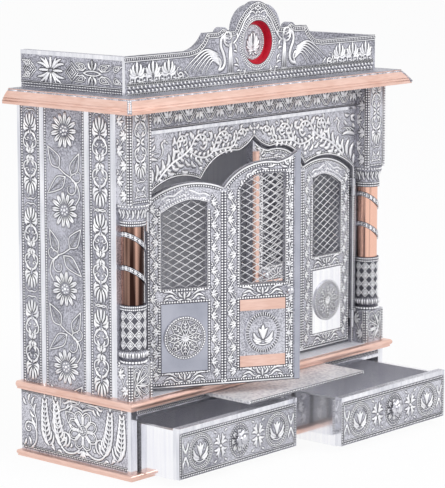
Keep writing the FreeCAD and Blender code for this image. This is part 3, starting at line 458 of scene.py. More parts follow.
class Relief:
    """Raised ornament on one face, gathered into one mesh of small closed pieces."""

    sunk = 0.15
    tip = 0.06
    skirt = 0.8
    round_bead = 1.6

    def __init__(self, face: Sheet | Column) -> None:
        """Starts an empty relief on a face.

        Args:
            face: The face to emboss.
        """
        self.face = face
        self.points: list[Vector] = []
        self.faces: list[tuple[int, ...]] = []
        self.hollows: list[tuple[int, ...]] = []
        self.lift = 0.06 if isinstance(face, Sheet) else 0.14

    def vertex(self, place: complex, rise: float) -> int:
        """Adds a point and returns its number."""
        self.points.append(self.face.at(place, rise))
        return len(self.points) - 1

    def stroke(self, path: Sequence[complex], width: float, taper: Taper, height: float) -> None:
        """Lays a ridge of triangular section along a path.

        Args:
            path: The line to follow.
            width: Its greatest width.
            taper: How the width runs along it.
            height: How high it rises.
        """
        last = len(path) - 1
        rows, edges = [], []
        for index, place in enumerate(path):
            share = taper.share(index / last)
            way = path[min(index + 1, last)] - path[max(index - 1, 0)]
            left = 1j * way / (abs(way) or 1)
            # The skirt beyond each side of the ridge becomes a dark band: oxide wash and painted shade at
            # the ridge's foot.
            edge = left * (width * share / 2 + self.skirt)
            edges.append((self.vertex(place + edge, self.lift), self.vertex(place - edge, self.lift)))
            if share < self.tip:
                rows.append((self.vertex(place, 0),))
                continue
            side = left * width * share / 2
            rows.append((self.vertex(place + side, -self.sunk), self.vertex(place, height * share ** 0.5),
                         self.vertex(place - side, -self.sunk)))
        for row, following in zip(rows, rows[1:]):
            self.join(row, following)
        for (left, right), (next_left, next_right) in zip(edges, edges[1:]):
            self.hollows.append((left, right, next_right, next_left))
        if len(rows[0]) == 3:
            self.faces.append((rows[0][0], rows[0][2], rows[0][1]))
        if len(rows[-1]) == 3:
            self.faces.append(rows[-1])

    def join(self, row: tuple[int, ...], following: tuple[int, ...]) -> None:
        """Skins the gap between two stations of a ridge.

        Args:
            row: The points of the first station.
            following: The points of the next one.
        """
        for side in range(3):
            other = (side + 1) % 3
            if len(row) == 1 and len(following) == 1:
                return
            if len(row) == 1:
                self.faces.append((row[0], following[other], following[side]))
            elif len(following) == 1:
                self.faces.append((row[side], row[other], following[0]))
            else:
                self.faces.append((row[side], row[other], following[other], following[side]))

    def hollow(self, path: Sequence[complex], width: float) -> None:
        """Lays a dark band along a path: oxide wash and painted shade.

        Args:
            path: The line to follow.
            width: Its greatest width.
        """
        sides = zip(beside(path, width / 2), beside(path, -width / 2))
        edges = [(self.vertex(left, self.lift), self.vertex(right, self.lift)) for left, right in sides]
        for (left, right), (next_left, next_right) in zip(edges, edges[1:]):
            self.hollows.append((left, right, next_right, next_left))

    def bead(self, place: complex, radius: float, height: float, ringed: bool, sides: int = 6) -> None:
        """Raises a small round dome.

        Args:
            place: The place on the face.
            radius: Its radius.
            height: How high it rises.
            ringed: Whether it gets a dark ring of oxide wash and painted shade.
            sides: How many sides it has.
        """
        spokes = [cmath.rect(radius, math.tau * side / sides) for side in range(sides)]
        foot = [self.vertex(place + spoke, 0) for spoke in spokes]
        top = self.vertex(place, height)
        if radius > self.round_bead:
            shoulder = [self.vertex(place + spoke * 0.72, height * 0.72) for spoke in spokes]
            self.faces += [(foot[side], foot[side - sides + 1], shoulder[side - sides + 1],
                            shoulder[side]) for side in range(sides)]
            foot = shoulder
        self.faces += [(foot[side], foot[side - sides + 1], top) for side in range(sides)]
        if ringed:
            wider = 1 + self.skirt * 0.7 / radius
            self.hollows.append(tuple(self.vertex(place + spoke * wider, self.lift) for spoke in spokes))

    def plate(self, outline: Sequence[complex], height: float, foot: float = -0.15) -> None:
        """Raises a flat plate over an anticlockwise outline.

        Args:
            outline: Its anticlockwise outline.
            height: How high it rises.
            foot: Where its foot lies, below the face where negative.
        """
        low = [self.vertex(place, foot) for place in outline]
        high = [self.vertex(place, height) for place in outline]
        for side in range(len(outline)):
            other = (side + 1) % len(outline)
            self.faces.append((low[side], low[other], high[other], high[side]))
        self.faces.append(tuple(high))
        self.faces.append(tuple(reversed(low)))

    def build(self, name: str, body: str, finish: Finish, smooth_faces: bool = True) -> bpy.types.Object:
        """Makes the mesh, sets it on the body that it rides on and reports it.

        Args:
            name: The piece's name.
            body: The moving part that it rides on.
            finish: Its finish.
            smooth_faces: Whether the raised faces are shaded smooth.

        Returns:
            The new object.
        """
        mesh = bpy.data.meshes.new(name)
        mesh.from_pydata(self.points, [], self.faces + self.hollows)
        raised = len(self.faces)
        mesh.polygons.foreach_set(
            "use_smooth", [smooth_faces and index < raised for index in range(len(mesh.polygons))])
        # The dark bands take the second finish: oxide wash and painted shade.
        mesh.polygons.foreach_set(
            "material_index", [int(index >= raised) for index in range(len(mesh.polygons))])
        mesh.materials.append(finish.value.material())
        mesh.materials.append(Finish.OXIDE_AND_PAINTED_SHADE.value.material())
        item = bpy.data.objects.new(name, mesh)
        bpy.context.scene.collection.objects.link(item)
        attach(item, body)
        LOG.info("%s: %d faces", name, len(self.faces))
        return item


@dataclass
class Pen:
    """Draws ornament on a relief in its own place, size and hand.

    Attributes:
        relief: The relief that it draws on.
        at: The face's place that is the pen's own zero.
        turn: Its scale and turn as one complex number.
        flipped: Whether left and right change places.
    """

    relief: Relief
    at: complex = 0j
    turn: complex = 1+0j
    flipped: bool = False
    boldness = 1.3

    def place(self, spot: complex) -> complex:
        """A spot of the pen's own as a place on the face."""
        return self.at + self.turn * (-spot.conjugate() if self.flipped else spot)

    def moved(self, at: complex, angle: float = 0.0, scale: float = 1.0, flip: bool = False) -> Pen:
        """A pen set down elsewhere: turned by degrees, scaled, and mirrored if flip is set.

        Args:
            at: The new zero.
            angle: The turn in degrees.
            scale: The change of size.
            flip: Whether to mirror it.

        Returns:
            The new pen.
        """
        turn = cmath.rect(scale, math.radians(angle))
        if self.flipped:
            turn = turn.conjugate()
        return Pen(self.relief, self.place(at), self.turn * turn, self.flipped != flip)

    def plate(self, outline: Sequence[complex], height: float) -> None:
        """A flat plate over an anticlockwise outline."""
        placed = [self.place(spot) for spot in outline]
        self.relief.plate(placed[::-1] if self.flipped else placed, height * abs(self.turn))

    def plates(self, name: str, finish: Finish, *rows: tuple[complex, complex, float],
               body: str = "cabinet") -> None:
        """Makes bare plates on the pen's face as a piece of their own.

        Args:
            name: The piece's name.
            finish: Its finish.
            *rows: Each plate's low corner, its high corner and how proud it stands.
            body: The moving part that it rides on.
        """
        sheet = Pen(Relief(self.relief.face), self.at, self.turn, self.flipped)
        for low, high, proud in rows:
            sheet.plate(box_path(low, high)[:4], proud)
        sheet.relief.build(name, body, finish, smooth_faces=False)

    def emboss(self, name: str, body: str = "cabinet") -> None:
        """Makes what was drawn into a piece of raised aluminium on a moving part."""
        self.relief.build(name, body, Finish.RAISED)

    def both(self, at: complex = 0j) -> tuple[Pen, Pen]:
        """This pen and its mirror image."""
        return self.moved(at), self.moved(at, flip=True)

    def stroke(self, path: Sequence[complex], width: float = 1.8, taper: Taper = Taper.EVEN,
               height: float = 0.0) -> None:
        """A ridge along a path, about half as high as it is wide.

        Args:
            path: The line to follow.
            width: Its greatest width.
            taper: How the width runs along it.
            height: Its height, or 0 for about half its width.
        """
        scale = abs(self.turn) * self.boldness
        self.relief.stroke(
            [self.place(spot) for spot in path], width * scale, taper,
            (height or min(1.2, 0.3 + width * 0.25)) * scale)

    def curve(self, knots: Sequence[complex], width: float = 1.8, taper: Taper = Taper.EVEN,
              steps: int = 5) -> None:
        """A ridge along a smooth curve through the knots."""
        self.stroke(smooth(knots, steps), width, taper)

    def curves(self, *rows: tuple) -> None:
        """Ridges along smooth curves, each given by what curve takes."""
        for row in rows:
            self.curve(*row)

    def bead(self, spot: complex, radius: float = 1.5, ringed: bool = True) -> None:
        """A dome, with a dark ring of oxide wash and painted shade round it unless it stands on a band."""
        scale = abs(self.turn)
        self.relief.bead(self.place(spot), radius * scale, min(radius * 0.85, 2.2) * scale, ringed)

    def beads(self, path: Sequence[complex], pitch: float = 4.1, radius: float = 1.5) -> None:
        """A row of beads on a dark band of oxide wash and painted shade.

        Args:
            path: The line to follow.
            pitch: The distance from one to the next.
            radius: The radius of each bead.
        """
        spots = along(path, pitch)
        self.relief.hollow([self.place(spot) for spot in spots], (radius * 2 + 1.6) * abs(self.turn))
        for spot in spots:
            self.bead(spot, radius, False)

    def beaded_line(self, path: Sequence[complex], gap: float = 3.2, radius: float = 1.3) -> None:
        """A row of beads with a thin line on each side.

        Args:
            path: The line to follow.
            gap: How far off the lines run.
            radius: The radius of each bead.
        """
        self.beads(path, 3.9, radius)
        for side in (-gap, gap):
            self.stroke(beside(path, side), 1.0)

    def ring(self, centre: complex, radius: float, width: float = 1.6, steps: int = 24) -> None:
        """A raised circle."""
        self.stroke(arc(centre, radius, 0, 360, steps), width)

    def bead_ring(self, centre: complex, radius: float, pitch: float = 4.1, bead: float = 1.4) -> None:
        """A circle of beads.

        Args:
            centre: Its middle.
            radius: Its radius.
            pitch: The distance from one to the next.
            bead: The radius of each bead.
        """
        count = max(3, round(math.tau * radius / pitch))
        for index in range(count):
            self.bead(centre + cmath.rect(radius, math.tau * index / count), bead)

    def leaf(self, start: complex, end: complex, width: float, bend: float = 0.0,
             taper: Taper = Taper.LEAF) -> None:
        """A pointed leaf, bent to its left by a share of its length."""
        middle = (start + end) / 2 + 1j * (end - start) * bend
        self.curve([start, middle, end], width, taper, 3)

    def leaves(self, *rows: tuple) -> None:
        """Pointed leaves, each given by what leaf takes."""
        for row in rows:
            self.leaf(*row)

    def open_leaf(self, start: complex, end: complex, width: float) -> None:
        """A leaf drawn as an outline with a midrib and veins.

        Args:
            start: Where it starts.
            end: Where it ends.
            width: Its greatest width.
        """
        way = end - start
        side = 1j * way / abs(way) * width / 2
        for hand in (side, -side):
            self.curve([start, start + way * 0.3 + hand, start + way * 0.62 + hand * 0.72, end], 2.1,
                       Taper.EVEN, 4)
            for share in (0.2, 0.34, 0.48, 0.6):
                self.bead(start + way * share + hand * 0.28, 0.9)
        self.stroke([start, start + way * 0.8], 1.2, Taper.TAIL)

    def curl(self, start: complex, centre: complex, turns: float, width: float = 2.2) -> None:
        """A tendril that winds in to a bead.

        Args:
            start: Where it starts.
            centre: Its middle.
            turns: How often it winds.
            width: Its greatest width.
        """
        path = spiral(start, centre, turns)
        self.stroke(path, width, Taper.TAIL)
        self.bead(path[-1], width * 0.55)

    def daisy(self, radius: float, petals: int, hub: float) -> None:
        """A daisy: split petals, broad at their ends, round a hub of seeds.

        Args:
            radius: Its radius.
            petals: How many petals it has.
            hub: The radius of its middle.
        """
        half = math.pi * radius * 0.8 / petals * 0.36
        for index in range(petals):
            petal = self.moved(0j, 360 * index / petals)
            reach = radius * (1.0 if index % 2 else 0.93)
            for hand in (-1, 1):
                petal.curve(
                    [
                        complex(hub * 1.25, hand * half * 0.35), complex(radius * 0.6, hand * half * 0.95),
                        complex(reach, hand * half * 0.45)],
                    half * 1.75, Taper.PETAL, 4)
        self.bead_ring(0j, hub * 0.86, hub * 0.75, hub * 0.24)
        self.bead(0j, hub * 0.36)

    def round_flower(self, radius: float, petals: int, hub: float) -> None:
        """A flower of broad petals, each a double outline with a vein, round a stippled disc.

        Args:
            radius: Its radius.
            petals: How many petals it has.
            hub: The radius of its middle.
        """
        for index in range(petals):
            petal = self.moved(0j, 360 * (index + 0.5) / petals)
            half = math.tan(math.pi / petals) * radius * 0.72
            for share in (1.0, 0.6):
                for hand in (-1, 1):
                    petal.curve(
                        [
                            complex(hub, hand * half * 0.3 * share),
                            complex(radius * 0.66, hand * half * share),
                            complex(radius * (0.72 + 0.25 * share), hand * half * 0.55 * share),
                            complex(radius * (0.78 + 0.22 * share), 0)],
                        2.4 if share == 1.0 else 1.4, Taper.EVEN, 4)
        self.ring(0j, hub, 1.8)
        for reach, count in ((0.62, 10), (0.28, 5)):
            for index in range(count):
                self.bead(cmath.rect(hub * reach, math.tau * index / count), hub * 0.13)

    def blossom(self, radius: float, petals: int) -> None:
        """A small flower of plain petals.

        Args:
            radius: Its radius.
            petals: How many petals it has.
        """
        for index in range(petals):
            tip = cmath.rect(radius, math.tau * index / petals + math.pi / 2)
            self.leaf(tip * 0.18, tip, radius * 2.6 / petals, taper=Taper.PETAL)
        self.bead(0j, radius * 0.22)

    def teardrop(self, length: float, width: float) -> None:
        """A drop with a smaller one inside, its point at zero.

        Args:
            length: The length of each leaf.
            width: Its greatest width.
        """
        for scale in (1.0, 0.5):
            reach = length * scale
            half = width * scale / 2
            foot = complex(length * (1 - scale) * 0.6, 0)
            self.curve([foot, foot + complex(reach * 0.5, half * 0.8), foot + complex(reach * 0.85, half),
                        foot + complex(reach, 0), foot + complex(reach * 0.85, -half),
                        foot + complex(reach * 0.5, -half * 0.8), foot], 1.5, Taper.EVEN, 3)

    def foliage(self, path: Sequence[complex], pitch: float, length: float, width: float) -> None:
        """Leaves along a path, by turns on its left and its right, each bent back towards it.

        Args:
            path: The line to follow.
            pitch: The distance from one to the next.
            length: The length of each leaf.
            width: Its greatest width.
        """
        spots = along(path, pitch)
        for index in range(len(spots) - 1):
            way = (spots[index + 1] - spots[index]) / (abs(spots[index + 1] - spots[index]) or 1)
            hand = 1 if index % 2 else -1
            self.leaf(spots[index], spots[index] + way * cmath.rect(length, math.radians(52 * hand)), width,
                      0.16 * hand)

    def vine(self, start: complex, end: complex, waves: int, swing: float, leaf: float) -> None:
        """A waving leafy stem with a curl and a spray of leaves in each bend.

        Args:
            start: Where it starts.
            end: Where it ends.
            waves: How many full waves it makes.
            swing: How far it swings to each side.
            leaf: The length of its leaves.
        """
        way = (end - start) / abs(end - start)
        side = 1j * way
        pitch = abs(end - start) / (waves * 2)
        knots = [start]
        for index in range(waves * 2):
            hand = 1 if index % 2 else -1
            knots.append(start + way * pitch * (index + 0.5) + side * swing * hand)
        path = smooth([*knots, end], 4)
        self.stroke(path, 1.6)
        for index in range(waves * 2):
            hand = 1 if index % 2 else -1
            root = start + way * pitch * (index + 0.5) + side * swing * hand
            for angle, reach in (
                (0, 1.0), (42, 0.95), (-42, 0.95), (84, 0.8), (-84, 0.8), (130, 0.6), (-130, 0.6)):
                tip = root - side * hand * cmath.rect(leaf * reach, math.radians(angle))
                self.leaf(root - side * hand * leaf * 0.18, tip, leaf * 0.34, 0.12 if angle > 0 else -0.12)
            turn = root + way * pitch / 2
            self.leaf(turn, turn + (way * 0.8 + side * hand * 0.5) * leaf * 0.7, leaf * 0.26)
            self.leaf(turn, turn + (-way * 0.3 + side * hand * 0.9) * leaf * 0.6, leaf * 0.26)


def front_pen(depth: float) -> Pen:
    """A pen for the face that looks to the front at a distance along Y."""
    return Pen(Relief(front_sheet(depth)))


SIDES = (("left", -1), ("right", 1))


def side_pens(distance: float, inwards: bool = False) -> list[tuple[str, Pen]]:
    """Pens for faces on the left and the right; right runs towards the front.

    Args:
        distance: How far each face lies from the middle.
        inwards: Whether they look towards the middle.

    Returns:
        The left and the right side's name and pen.
    """
    pens = []
    for name, sign in SIDES:
        turned = (sign > 0) != inwards
        sheet = Sheet(Vector((distance * sign, 0, 0)), RIGHT if turned else LEFT)
        pens.append((name, Pen(Relief(sheet), flipped=turned)))
    return pens


@dataclass
class SideWalls:
    """The cabinet's two side walls: a wide panel of daisies between narrow scrolled ones."""

    face: float = 305.0
    low: float = 118.0
    high: float = 548.0
    narrow_panels: tuple[tuple[float, float], ...] = ((-111.0, -70.0), (35.0, 79.0))
    wide_panel: tuple[float, float] = (-61.0, 25.0)
    daisy_levels: tuple[float, ...] = (512.0, 392.0, 272.0, 152.0)
    daisy_radius: float = 29.0
    period: float = 143.3
    first_flower: float = 471.0
    bead_inset: float = 3.0

    def build(self) -> None:
        """Embosses both walls."""
        for side, pen in side_pens(self.face):
            for low, high in self.narrow_panels:
                self.narrow(pen, low, high)
            self.wide(pen)
            pen.emboss(f"{side}_wall_relief")

    def edges(self, pen: Pen, low: float, high: float) -> None:
        """Bead rows up both edges of a panel."""
        for across in (low + self.bead_inset, high - self.bead_inset):
            pen.beads(upright(across, self.low + 2, self.high - 2))

    def narrow(self, pen: Pen, low: float, high: float) -> None:
        """A narrow panel: candelabra of leaves and hearts, mirrored about four-petal flowers.

        Args:
            pen: The pen.
            low: The lower or left end.
            high: The upper or right end.
        """
        self.edges(pen, low, high)
        middle = (low + high) / 2
        scale = (high - low) / 43
        for level in (
            self.first_flower, self.first_flower - self.period, self.first_flower - 2 * self.period):
            flower = pen.moved(complex(middle, level), scale=scale)
            for angle in (45, 135, 225, 315):
                flower.leaf(0j, cmath.rect(13, math.radians(angle)), 6.0, taper=Taper.PETAL)
            flower.leaves((2j, 12j, 4.0), (-2j, -12j, 4.0))
            for standing in (flower, flower.moved(0j, 180)):
                for hand in standing.both():
                    self.candelabrum(hand)

    @staticmethod
    def candelabrum(pen: Pen) -> None:
        """Half of the vase, heart and palmette above a flower.

        Args:
            pen: The pen.
        """
        pen.curve([3+9j, 12.5+14j, 14+23j, 8+31j, 1.5+37j], 2.8)
        pen.curl(1+34j, 5.5+26j, -0.8, 3.0)
        pen.leaves(
            (1+11j, 7.5+20j, 4.0, -0.2), (1.5+40j, 15+50j, 5.2, -0.28), (1.5+42j, 12+60j, 5.0, -0.22),
            (1+44j, 7+66j, 4.4, -0.1), (46j, 1.5+68j, 3.2), (9+35j, 16+42j, 3.4, 0.1))
        pen.curve([70.5j, 6+71.5j, 11+69j, 15.5+64j], 2.6, Taper.TAIL)

    def wide(self, pen: Pen) -> None:
        """The wide panel: daisies joined by a stem with three outlined leaves and two curls.

        Args:
            pen: The pen.
        """
        low, high = self.wide_panel
        self.edges(pen, low, high)
        middle = (low + high) / 2
        for index, level in enumerate(self.daisy_levels):
            spot = pen.moved(complex(middle, level), flip=bool(index % 2))
            spot.daisy(self.daisy_radius, 13, 7.0)
            self.spray(spot)

    @staticmethod
    def spray(pen: Pen) -> None:
        """The stem below a daisy, from its fork round to the next one.

        Args:
            pen: The pen.
        """
        fork = 14-70j
        pen.curve([-11-57j, 2-65j, fork, 27-80j, 32-97j, 24-110j], 2.4)
        pen.open_leaf(-10-57j, -34-26j, 20)
        pen.open_leaf(15-66j, 32-32j, 17)
        pen.open_leaf(3-69j, -35-97j, 19)
        pen.stroke([fork, 15-66j], 2.0)
        pen.curl(fork, 27-65j, 0.9, 2.4)
        pen.curl(20-74j, 13-86j, -1.0, 2.6)


@dataclass
class BaseSides:
    """The base's two sides: a round flower between fronds, with leaf arches above it."""

    face: float = 305.0
    middle: complex = 16+58j
    radius: float = 30.0
    back_scroll_place: float = -99.0
    low: float = 12.0
    front: float = 117.0
    corner_strip: float = 7.0
    height: tuple[float, float] = (9.0, 106.0)

    def build(self) -> None:
        """Embosses both sides."""
        for side, pen in side_pens(self.face):
            pen.beads(level_line(-self.front + 3, self.front - 9, self.low + 1), 3.6, 1.2)
            pen.stroke(level_line(-self.front, self.front - 8, self.low + 3.6), 1.2)
            pen.stroke(level_line(-self.front, self.front - 8, 101), 1.2)
            flower = pen.moved(self.middle)
            flower.round_flower(self.radius, 8, 9.0)
            for hand in flower.both():
                self.fronds(hand)
            self.back_scroll(pen.moved(complex(self.back_scroll_place, self.middle.imag)))
            pen.emboss(f"{side}_base_relief")
            pen.plates(
                f"{side}_base_corner_strip", Finish.POLISHED,
                (
                    complex(self.front - self.corner_strip, self.height[0]),
                    complex(self.front, self.height[1]), 0.5))

    @staticmethod
    def fronds(pen: Pen) -> None:
        """Half of the scrolls round the flower: tall palms, a volute and an arch of leaves.

        Args:
            pen: The pen.
        """
        near = smooth([7-31j, 20-38j, 35-38.5j, 47-30j, 53-14j, 56+6j, 58+38j])
        far = smooth([64-38j, 73-35j, 79-24j, 81-6j, 82+14j, 82+38j])
        pen.stroke(near[:16], 3.6)
        pen.curl(36-30j, 39-17j, -1.2, 4.2)
        for stem in (near[14:], far[5:]):
            BaseSides.palm(pen, stem)
        for start, end in ((60-42j, 70-36j), (66-27j, 60-36j), (28-30j, 24-22j), (44-42j, 56-41j)):
            pen.leaf(start, end, 4.6, 0.25)
        pen.curves(
            ([0+34j, 12+41j, 27+42j, 38+37j, 43+40j], 4.0, Taper.PETAL),
            ([1+31j, 13+35j, 24+33j, 30+24j], 3.4, Taper.TAIL))
        for start, end in ((22+38j, 30+27j), (30+39j, 38+28j)):
            pen.leaf(start, end, 4.6, -0.15)
        for end, width in ((0-43j, 4.6), (8-42j, 4.4), (14-36j, 3.8)):
            pen.leaf(1-30j, end, width, -0.15)

    @staticmethod
    def palm(pen: Pen, stem: Path) -> None:
        """A tall palm: a rib with long upright leaflets in pairs.

        Args:
            pen: The pen.
            stem: The rib's line.
        """
        pen.stroke(stem, 3.6, Taper.TAIL)
        spots = along(stem, 7.6)
        for index in range(len(spots) - 1):
            reach = 21 - index * 1.4
            for hand in (1, -1):
                root = spots[index]
                pen.curve([root, root + complex(hand * reach * 0.4, reach * 0.36),
                           root + complex(hand * reach * 0.54, reach)], 4.8, Taper.LEAF)
        pen.leaf(spots[-1], spots[-1] + 8j, 4.6)

    @staticmethod
    def back_scroll(pen: Pen) -> None:
        """The volute and the leaves at the back edge.

        Args:
            pen: The pen.
        """
        pen.curve([4-44j, 13-34j, 15-18j, 8-6j, -3-4j], 3.6)
        pen.curl(-3-4j, -2-13j, 1.1, 3.6)
        pen.curve([15-14j, 14+4j, 6+20j, -4+30j], 3.4, Taper.TAIL)
        for start, end in (
            (15-8j, 4+6j), (13+4j, 0+16j), (11+12j, 15+28j), (5+22j, 12+38j), (-2+28j, 2+41j),
            (-6+22j, -14+34j), (-8-30j, -14-42j), (-4-26j, 2-42j)):
            pen.leaf(start, end, 4.8, 0.15)


@dataclass
class ParapetSides:
    """The parapet's sides: lotus diamonds, a ribbon bow and flame scrolls under a bare edge."""

    face: float = 296.0
    low: float = 570.0
    high: float = 627.0
    back: float = -117.0
    front: float = 101.0
    edge_strip: float = 6.0
    diamond: complex = -53+599j
    bow: complex = 34+599j

    def build(self) -> None:
        """Embosses both sides and sets the bare strips on their edges."""
        for side, pen in side_pens(self.face):
            for level in (573.0, 577.0):
                pen.beads(level_line(self.back + 2, self.front - 6, level), 3.4, 1.1)
            pen.stroke(level_line(self.back, self.front - 6, 580), 1.0)
            for quarter in self.quarters(pen.moved(self.diamond)):
                self.lotus_diamond(quarter)
            for quarter in self.quarters(pen.moved(self.bow)):
                self.ribbon(quarter)
            for level, angle in ((612.0, -20), (586.0, 20)):
                pen.moved(complex(-114, level), angle).teardrop(17, 8)
                pen.moved(complex(94, level), 180 - angle).teardrop(17, 8)
            pen.emboss(f"{side}_parapet_relief")
            corner = complex(self.front, self.high)
            pen.plates(
                f"{side}_parapet_strips", Finish.POLISHED,
                (complex(self.back, self.high - self.edge_strip), corner, 0.5),
                (complex(self.front - 5, self.low), corner, 0.6))

    @staticmethod
    def quarters(pen: Pen) -> list[Pen]:
        """A pen and its mirror images left to right and top to bottom."""
        return [*pen.both(), *pen.moved(0j, 180).both()]

    @staticmethod
    def lotus_diamond(pen: Pen) -> None:
        """A quarter of the star of long petals with nested diamonds beside it.

        Args:
            pen: The pen.
        """
        for tip, width, bend in (
            (27+0.5j, 4.4, 0.0), (31+11j, 4.6, 0.1), (24+19j, 4.8, 0.08), (12+21j, 4.6, -0.05),
            (1+22j, 4.4, 0.0)):
            pen.leaf(tip * 0.1, tip, width, bend)
        for reach in (14, 9, 4):
            pen.stroke([complex(45 + reach, 0), complex(45, reach), complex(45 - reach, 0)], 1.8)

    @staticmethod
    def ribbon(pen: Pen) -> None:
        """A quarter of the bow: upright leaves, a lens across and a flame scroll beside.

        Args:
            pen: The pen.
        """
        pen.leaves((4j, 21j, 4.2), (1+4j, 8+18j, 4.6, -0.15))
        pen.curve([3.4j, 9+2.8j, 18+0j], 2.4)
        pen.moved(36+14j, 200).teardrop(22, 10)
        pen.curve([12+8j, 22+4j, 34+6j, 44+16j], 2.6, Taper.TAIL)


@dataclass
class Crest:
    """The crest board: swans, columns and a beaded niche over a rope and, outside, tulips on a braid."""

    face: float = -101.0
    niche: complex = 631.5j
    niche_radius: float = 34.5
    rope_level: float = 577.5
    half_width: float = 296.0
    medallion_face: float = -91.0
    outline: tuple[complex, ...] = (
        -296+627j, -158+627j, -140+630j, -126+640j, -118+652j, -91+652j, -80+658j, -69+652j, -54+652j,
        -44+668j, -32+680j, -17+690j, 0+695j)

    def build(self) -> None:
        """Embosses the crest's face and sets its rim."""
        pen = front_pen(self.face)
        for level in (570.5, 585.5):
            pen.beaded_line(level_line(-self.half_width + 4, self.half_width - 4, level), 1.8, 0.8)
        self.rope(pen)
        for radius, pitch in ((self.niche_radius + 3.2, 3.8), (self.niche_radius + 7.2, 3.8)):
            pen.bead_ring(self.niche, radius, pitch, 1.4)
        pen.ring(self.niche, self.niche_radius + 0.9, 1.4, 48)
        pen.moved(682j).blossom(7.5, 5)
        for hand in pen.both():
            self.half(hand)
            self.rim(hand)
        pen.emboss("crest_relief")
        self.lotus()

    def lotus(self) -> None:
        """The lotus in the niche, ringed with beads."""
        pen = Pen(Relief(front_sheet(self.medallion_face)), at=self.niche)
        pen.bead_ring(0j, 25.0, 3.4, 1.3)
        for hand in pen.both():
            for tip, width in ((1+17j, 5.6), (9+13j, 5.6), (15+5j, 5.0), (17-4j, 4.4), (12-12j, 4.0)):
                hand.leaf(-9j, tip, width, -0.18)
            hand.curve([-12j, 8-15j, 15-11j], 2.2, Taper.TAIL)
            hand.leaf(2-16j, 10-20j, 3.4, 0.1)
        pen.leaf(-16j, -22j, 3.6)
        pen.emboss("niche_lotus_relief")

    def rope(self, pen: Pen) -> None:
        """A rope of slanted paired lobes.

        Args:
            pen: The pen.
        """
        for place in along(level_line(-self.half_width + 8, self.half_width - 8, 0), 8.6):
            spot = pen.moved(complex(place.real, self.rope_level))
            spot.leaves(
                (-4.6+0.2j, 0.6-5.6j, 4.4, 0.1, Taper.PETAL), (4.6+0j, -0.6+5.8j, 4.4, 0.1, Taper.PETAL))

    def rim(self, pen: Pen) -> None:
        """The hatched rim that follows the crest's edge.

        Args:
            pen: The pen.
        """
        edge = along(list(self.outline), 4.2)
        pen.stroke(beside(edge, -1.2), 1.4)
        pen.stroke(beside(edge, -7.5), 1.6)
        for spot, inner in zip(beside(edge, -2.2), beside(edge, -6.4)):
            pen.stroke([spot, inner + (spot - inner) * 0.1 + 1.4], 1.5)

    def half(self, pen: Pen) -> None:
        """The left half's ornament, drawn on the right and mirrored.

        Args:
            pen: The pen.
        """
        self.column(pen)
        self.swan(pen)
        pen.curl(6+676j, 15+671j, -0.9, 2.6)
        pen.curve([19+676j, 30+667j, 40+652j, 49+640j, 58+633j], 3.0)
        for start, end in (
            (46+600j, 54+612j), (43+596j, 57+600j), (50+622j, 56+634j), (48+618j, 58+622j),
            (40+590j, 50+590j), (52+636j, 48+650j), (34+591j, 28+588j)):
            pen.leaf(start, end, 3.6, 0.15)
        pen.curl(30+594j, 38+589.5j, 0.8, 2.0)
        for place in range(3):
            spot = pen.moved(complex(203 + place * 34, 597))
            for hand in spot.both():
                hand.leaves((0j, 0.5+23j, 5.4), (0.5+0j, 7.5+20j, 5.6, -0.2), (1+0j, 14+14j, 5.4, -0.25),
                            (1-1j, 17+5j, 4.4, -0.25))
            spot.bead(17+10j, 1.4)
        for place in range(9):
            spot = pen.moved(complex(178 + place * 13, 591), flip=bool(place % 2))
            spot.curl(-6.5-3j, 0.5j, -0.9, 3.4)
            spot.leaf(1-3j, 7-1j, 2.6)

    @staticmethod
    def column(pen: Pen) -> None:
        """The fluted column beside the niche with its volute.

        Args:
            pen: The pen.
        """
        for across in (58.5, 63.5, 68.5):
            pen.stroke([complex(across, 588), complex(across * 0.2 + 51.5, 634)], 3.4)
        pen.stroke(level_line(57, 71, 588), 1.8)
        pen.curl(68+630j, 69+643j, 1.15, 3.6)
        pen.curve([61+632j, 61+642j, 66+651j, 76+650j], 2.2)

    @staticmethod
    def swan(pen: Pen) -> None:
        """A swan that looks towards the niche, with long wing feathers.

        Args:
            pen: The pen.
        """
        pen.curve([74+641j, 79+645j, 85+641j, 86+630j, 80+618j, 77+606j, 82+597j, 92+594j], 5.6)
        pen.leaf(79+643j, 70+636j, 3.0, 0.2)
        pen.curve([92+594j, 86+604j, 90+612j, 98+612j], 3.4)
        for index in range(6):
            root = complex(88 + index * 1.2, 602 + index * 3.4)
            bend = complex(104 + index * 3.4, 610 + index * 3.4)
            tip = complex(122 + index * 10, 590 + index * 1.4)
            pen.curve([root, bend, bend + (tip - bend) * 0.55 + 3j, tip], 3.8, Taper.TAIL)
        pen.curve([168+598j, 160+590j, 168+588j], 2.6, Taper.TAIL)
        pen.curl(172+592j, 178+601j, 0.8, 2.6)


